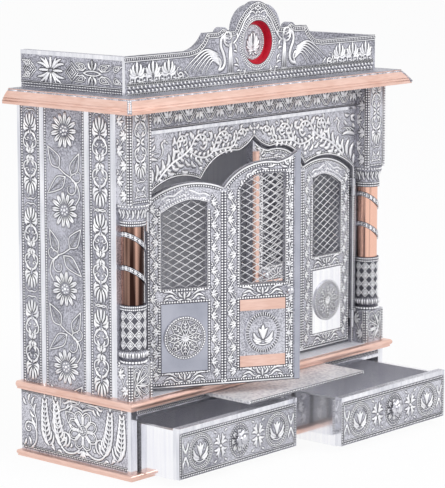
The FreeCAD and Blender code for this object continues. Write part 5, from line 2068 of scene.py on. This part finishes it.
@dataclass
class Linings:
    """Plain sheets inside the cabinet, the drawers' bare sides and the niche's red ring."""

    inner_half: float = 293.0
    inner_depth: tuple[float, float] = (-90.0, 109.0)
    height: tuple[float, float] = (118.0, 548.0)
    drawer_sides: tuple[tuple[str, float, float, float, float], ...] = (
        ("left_drawer", -288.0, -24.0, -188.0, 5.0), ("right_drawer", 24.0, 288.0, -243.0, -50.0))
    drawer_height: tuple[float, float] = (9.3, 84.0)
    niche: tuple[float, float, float, float] = (0.0, 631.5, -101.0, -89.0)
    niche_radius: float = 34.5
    disc_radius: float = 39.0
    floor_step: float = -78.0
    threshold: tuple[float, float] = (257.5, -117.0)
    disc: float = 3.0

    def build(self) -> None:
        """Makes every lining."""
        low, high = self.height
        half, (front, back) = self.inner_half, self.inner_depth
        inside = front_pen(back)
        inside.plates(
            "inner_back_lining", Finish.PALE_FOIL, (complex(-half, low), complex(half, high), 0.4))
        for side, sign, right in (("left", -1, RIGHT), ("right", 1, LEFT)):
            wall = Pen(Relief(Sheet(Vector((half * sign, 0, 0)), right)))
            near, far = sorted((-front * sign, -back * sign))
            wall.plates(
                f"inner_{side}_lining", Finish.PALE_FOIL, (complex(near, low), complex(far, high), 0.4))
        floor = Pen(Relief(Sheet(Vector((0, 0, low)), FRONT, Vector((0, 1, 0)))))
        step, (mouth, sill) = self.floor_step, self.threshold
        floor.plates(
            "inner_floor_lining", Finish.PALE_FOIL, (complex(-half, step), complex(half, back), 0.4),
            (complex(-mouth, sill), complex(mouth, step), 0.4))
        foot, top = self.drawer_height
        for name, left, right, front, back in self.drawer_sides:
            for label, place, way, near, far in (
                ("left", left, LEFT, -back, -front), ("right", right, RIGHT, front, back)):
                side = Pen(Relief(Sheet(Vector((place, 0, 0)), way)))
                side.plates(
                    f"{name}_{label}_side_sheet", Finish.BRIGHT_SHEET,
                    (complex(near, foot), complex(far, top), 0.4), body=name)
        self.niche_ring()

    def niche_ring(self) -> None:
        """The red edge inside the round niche."""
        across, up, front, back = self.niche
        ring = Relief(front_sheet(front))
        count = 48
        for depth in (-0.05, -(back - front) + 0.05):
            for spot in arc(complex(across, up), self.niche_radius - 0.3, 0, 360, count)[:-1]:
                ring.vertex(spot, depth)
        ring.faces = [(index, index + count, (index + 1) % count + count,
                       (index + 1) % count) for index in range(count)]
        ring.build("niche_red_edge", "cabinet", Finish.RED)
        board = Relief(front_sheet(back + self.disc))
        board.plate(arc(complex(across, up), self.disc_radius, 0, 360, count)[:-1], self.disc, 0)
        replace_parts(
            board.build("niche_red_disc", "cabinet", Finish.RED, smooth_faces=False), "niche_backing")


@dataclass
class CrownLace:
    """The embossed strip that covers the crown's top and hangs over its edge in scallops."""

    top: float = 570.0
    half_width: float = 323.4
    front: float = -135.4
    back: float = 117.0
    inner_half: float = 296.0
    inner_front: float = -101.0
    slope: tuple[float, float] = (12.6, 16.5)
    pitch: float = 21.0
    drop: float = 6.0
    face_length: float = 20.7
    lip: tuple[float, float] = (12.6, 18.4)
    lip_level: float = 551.5
    fold_levels: tuple[tuple[float, float], ...] = ((1.5, 0.5), (6.0, 1.1))
    body_half: float = 305.0
    body_front: float = 117.0
    outer_half: float = 336.0
    outer_front: float = -148.0
    proud: float = 1.5

    def build(self) -> None:
        """Makes the top strips and the scallops on the front and both sides."""
        outward, down = self.slope
        length = math.hypot(outward, down)
        front = Pen(Relief(Sheet(Vector((0, self.front, self.top - 2)), FRONT, Vector((0, outward,
                                                                                       down)) / length)))
        self.scallops(front, -self.half_width, self.half_width)
        front.relief.build("crown_front_lace", "cabinet", Finish.PALE_GROUND)
        for side, sign, right in (("left", -1, LEFT), ("right", 1, RIGHT)):
            up_side = Vector((-outward * sign, 0, down)) / length
            pen = Pen(Relief(Sheet(Vector((self.half_width * sign, 0, self.top - 2)), right, up_side)),
                      flipped=sign > 0)
            self.scallops(pen, -self.back, -self.front)
            pen.relief.build(f"crown_{side}_lace", "cabinet", Finish.PALE_GROUND)
        self.folds()
        self.mitres()
        flat = Pen(Relief(Sheet(Vector((0, 0, self.top)), Vector((1, 0, 0)), Vector((0, 1, 0)))))
        flat.plate(
            [
                complex(-self.half_width, self.front), complex(self.half_width, self.front),
                complex(self.inner_half, self.inner_front), complex(-self.inner_half, self.inner_front)],
            0.4)
        for sign in (-1, 1):
            corners = [
                complex(self.half_width * sign, self.front), complex(self.half_width * sign, self.back),
                complex(self.inner_half * sign, self.back),
                complex(self.inner_half * sign, self.inner_front)]
            flat.plate(corners if sign > 0 else corners[::-1], 0.4)
        flat.relief.build("crown_top_strip", "cabinet", Finish.GROUND, smooth_faces=False)

    def folds(self) -> None:
        """The crown's two folded beads near its lower edge, on the front and both sides."""
        out, edge = self.lip
        for level, swell in self.fold_levels:
            reach = out * (1 - level / self.face_length) + edge + swell
            half, front = self.body_half + reach, self.body_front + reach
            for name, sheet, low, high, flipped in (
                ("front", front_sheet(-front), -half, half, False),
                ("left", Sheet(Vector((-half, 0, 0)), LEFT), -self.back, front, False),
                ("right", Sheet(Vector((half, 0, 0)), RIGHT), -self.back, front, True)):
                pen = Pen(Relief(sheet), flipped=flipped)
                place = self.lip_level + level * 0.8
                pen.stroke(along(level_line(low, high, place), 60), 1.6, height=1.0)
                pen.relief.hollows = []
                pen.relief.build(f"crown_{name}_fold_{round(level)}", "cabinet", Finish.COPPER)

    def mitres(self) -> None:
        """The beaded strips over the crown's front mitres."""
        for name, sign in SIDES:
            right = Vector((1, sign, 0)).normalized()
            up = Vector((-sign * self.slope[0], self.slope[0], self.slope[1])).normalized()
            foot = Vector((sign * self.outer_half, self.outer_front, self.lip_level - 0.5))
            pen = Pen(Relief(Sheet(foot, right, up)))
            pen.relief.plate(box_path(-3.2+0j, 3.2+23.5j)[:4], self.proud, -2.5)
            pen.relief.build(f"crown_{name}_mitre_strip", "cabinet", Finish.GROUND, smooth_faces=False)
            beads = Pen(Relief(Sheet(foot + right.cross(up) * self.proud, right, up)))
            for spot in along(upright(0.5, 1, 22.5), 3.4):
                beads.bead(spot - 2, 1.2, False)
                beads.bead(spot + 1, 1.2, False)
            beads.emboss(f"crown_{name}_mitre_beads")

    def scallops(self, pen: Pen, low: float, high: float) -> None:
        """Flat scallops of different lengths, folded over the edge, with a thin line round each.

        Args:
            pen: The pen.
            low: The lower or left end.
            high: The upper or right end.
        """
        count = round((high - low) / self.pitch)
        pitch = (high - low) / count
        for index in range(count):
            middle = low + pitch * (index + 0.5)
            drop = self.drop * (0.7, 1.0, 0.85)[index % 3]
            rim = [complex(middle - pitch / 2 * math.cos(turn),
                           -drop * math.sin(turn)) for turn in [math.pi * step / 8 for step in range(9)]]
            pen.plate([*rim, complex(middle + pitch / 2, 2.0), complex(middle - pitch / 2, 2.0)], 0.5)


@dataclass
class Studio:
    """The pale floor, the soft lights and the camera.

    Attributes:
        azimuth: The camera's heading in degrees, 0 along +Y.
        elevation: Its height above the horizon in degrees.
        position: Where it stands, in millimetres.
        focal_pixels: Its focal length in pixels of the photograph.
        frame_height: The photograph's longer side in pixels.
    """

    azimuth: float = -48.63
    elevation: float = 9.42
    position: tuple[float, float, float] = (-2666.8, -2377.1, 897.5)
    focal_pixels: float = 2268.0
    frame_height: float = 488.0
    sensor: float = 36.0
    floor_size: float = 40.0
    paper_glow: float = 0.92

    def build(self) -> None:
        """Makes the camera, the lights, the world and the floor."""
        self.camera()
        self.world()
        self.floor()
        self.lamp("key_softbox", 70.0, (1.2, -3.6, 2.8), 2.4)
        self.lamp("left_softbox", 55.0, (-3.6, -0.6, 2.2), 2.2)

    def camera(self) -> None:
        """Sets the camera where the photograph was taken from."""
        data = bpy.data.cameras.new("camera")
        data.sensor_width = self.sensor
        data.lens = self.focal_pixels / self.frame_height * self.sensor
        data.clip_end = 100.0
        camera = bpy.data.objects.new("camera", data)
        camera.location = Vector(self.position) * MM
        camera.rotation_euler = (math.radians(90 - self.elevation), 0, math.radians(self.azimuth))
        bpy.context.scene.collection.objects.link(camera)
        bpy.context.scene.camera = camera

    def lamp(self, name: str, power: float, place: tuple[float, float, float], size: float) -> None:
        """Adds one square soft light aimed at the cabinet's middle.

        Args:
            name: The lamp's name.
            power: Its power in watts.
            place: Where it hangs, in metres.
            size: The length of its side in metres.
        """
        data = bpy.data.lights.new(name, "AREA")
        data.energy = power
        data.size = size
        lamp = bpy.data.objects.new(name, data)
        lamp.location = place
        aim = Vector((0, 0, 0.35)) - lamp.location
        lamp.rotation_euler = aim.to_track_quat("-Z", "Y").to_euler()
        bpy.context.scene.collection.objects.link(lamp)

    @staticmethod
    def seen_directly(tree: bpy.types.NodeTree) -> bpy.types.Node:
        """Adds nodes that give 1 to what the camera and gloss see, else 0.

        Args:
            tree: The node tree that gets them.

        Returns:
            The last of the nodes.
        """
        path = add_node(tree, "LightPath").outputs
        return add_node(
            tree, "Math", {0: path["Is Camera Ray"], 1: path["Is Glossy Ray"]}, operation="MAXIMUM")

    def world(self) -> None:
        """A soft even surround, seen as white by the camera and by gloss."""
        world = bpy.data.worlds.new("studio")
        bpy.context.scene.world = world
        world.use_nodes = True
        tree = world.node_tree
        tree.nodes.clear()
        seen = self.seen_directly(tree)
        room = add_node(tree, "Background", Color=linear("#f4f4f8"), Strength=0.7)
        white = add_node(tree, "Background", Color=(1, 1, 1, 1), Strength=1.0)
        mix = add_node(tree, "MixShader", {0: seen, 1: room, 2: white})
        add_node(tree, "OutputWorld", {"Surface": mix})

    def floor(self) -> None:
        """A plain pale floor."""
        half = self.floor_size / 2
        mesh = bpy.data.meshes.new("floor")
        mesh.from_pydata(
            [(-half, -half, 0), (half, -half, 0), (half, half, 0), (-half, half, 0)], [], [(0, 1, 2, 3)])
        floor = bpy.data.objects.new("floor", mesh)
        bpy.context.scene.collection.objects.link(floor)
        mesh.materials.append(self.paper())

    def paper(self) -> bpy.types.Material:
        """Matt white background paper: seen white by the camera and by gloss, and it keeps a soft shadow.

        Returns:
            The material.
        """
        material = bpy.data.materials.new("matt_background_paper")
        material.use_nodes = True
        tree = material.node_tree
        shader = tree.nodes["Principled BSDF"]
        shader.inputs["Base Color"].default_value = linear("#fbfbfc")
        shader.inputs["Roughness"].default_value = 0.9
        seen = self.seen_directly(tree)
        share = add_node(tree, "Math", {0: seen}, operation="MULTIPLY")
        share.inputs[1].default_value = self.paper_glow
        white = add_node(tree, "Emission", Color=(1, 1, 1, 1), Strength=1.0)
        mix = add_node(tree, "MixShader", {0: share, 1: shader, 2: white})
        tree.links.new(mix.outputs[0], tree.nodes["Material Output"].inputs["Surface"])
        return material


PLAIN_FINISHES = {
    Slot.EMBOSSED.value: Finish.GROUND, Slot.POLISHED.value: Finish.POLISHED,
    Slot.PLAIN.value: Finish.PLAIN, Slot.COPPER.value: Finish.COPPER, Slot.RED.value: Finish.RED,
    Slot.PLATED.value: Finish.PLATED}


SPECIAL_FINISHES = (
    (("lattices",), Finish.WIRE),
    (
        (
            "leaf", "arch_panel", "block", "base_left", "base_right", "drawer_front", "base_rail",
            "base_divider", "rosette", "medallion"),
        Finish.PALE_GROUND),
    # The doors' two mirror plates are one metal: the left door's gets the darker bluish copy, whose colour
    # is a painted reflection.
    (("right_door_mirror_plate",), Finish.BRIGHT_SHEET), (("mirror_plate",), Finish.MIRROR_PAINTED_REFLECTION),
    # The shafts' dark brown and pink streaks are painted reflections.
    (("drum",), Finish.OXIDE_AND_PAINTED_SHADE), (("drawer_box",), Finish.SATIN), (("pillar_shafts",), Finish.COPPER_PAINTED_REFLECTION_STREAKS))


def special_finish(name: str) -> Finish | None:
    """The finish of a piece that differs from others of its slot.

    Args:
        name: The solid's name.

    Returns:
        The finish, or None for its slot's own.
    """
    for words, finish in SPECIAL_FINISHES:
        if name == "tray":
            return Finish.HAMMERED
        if any(word in name for word in words):
            return finish
    return None


def dress_nodes(frame: dict) -> None:
    """Gives each solid the finish of its slot.
    """
    slots = {part["node"]: part["material_slot"] for part in frame["record"]["subparts"]}
    for name, item in frame["nodes"].items():
        paint(item, special_finish(name) or PLAIN_FINISHES[slots[name]])


def main() -> None:
    """Builds the studio and dresses the cabinet."""
    logging.basicConfig(level=logging.INFO, format="%(message)s")
    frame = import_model()
    bpy.context.scene.view_settings.view_transform = "Standard"
    Studio().build()
    dress_nodes(frame)
    doors = Doors()
    for piece in (
        SideWalls(), BaseSides(), ParapetSides(), Crest(), CrownLace(), ArchPanel(), Pillars(), doors,
        DrawerFronts(), BaseFront(), Linings()):
        piece.build()
        LOG.info("%s done", type(piece).__name__)
    Medallions().build(doors)
    Lattices().build(doors)
    Pulls().build(DrawerFronts(), doors)


if __name__ == "__main__":
    main()
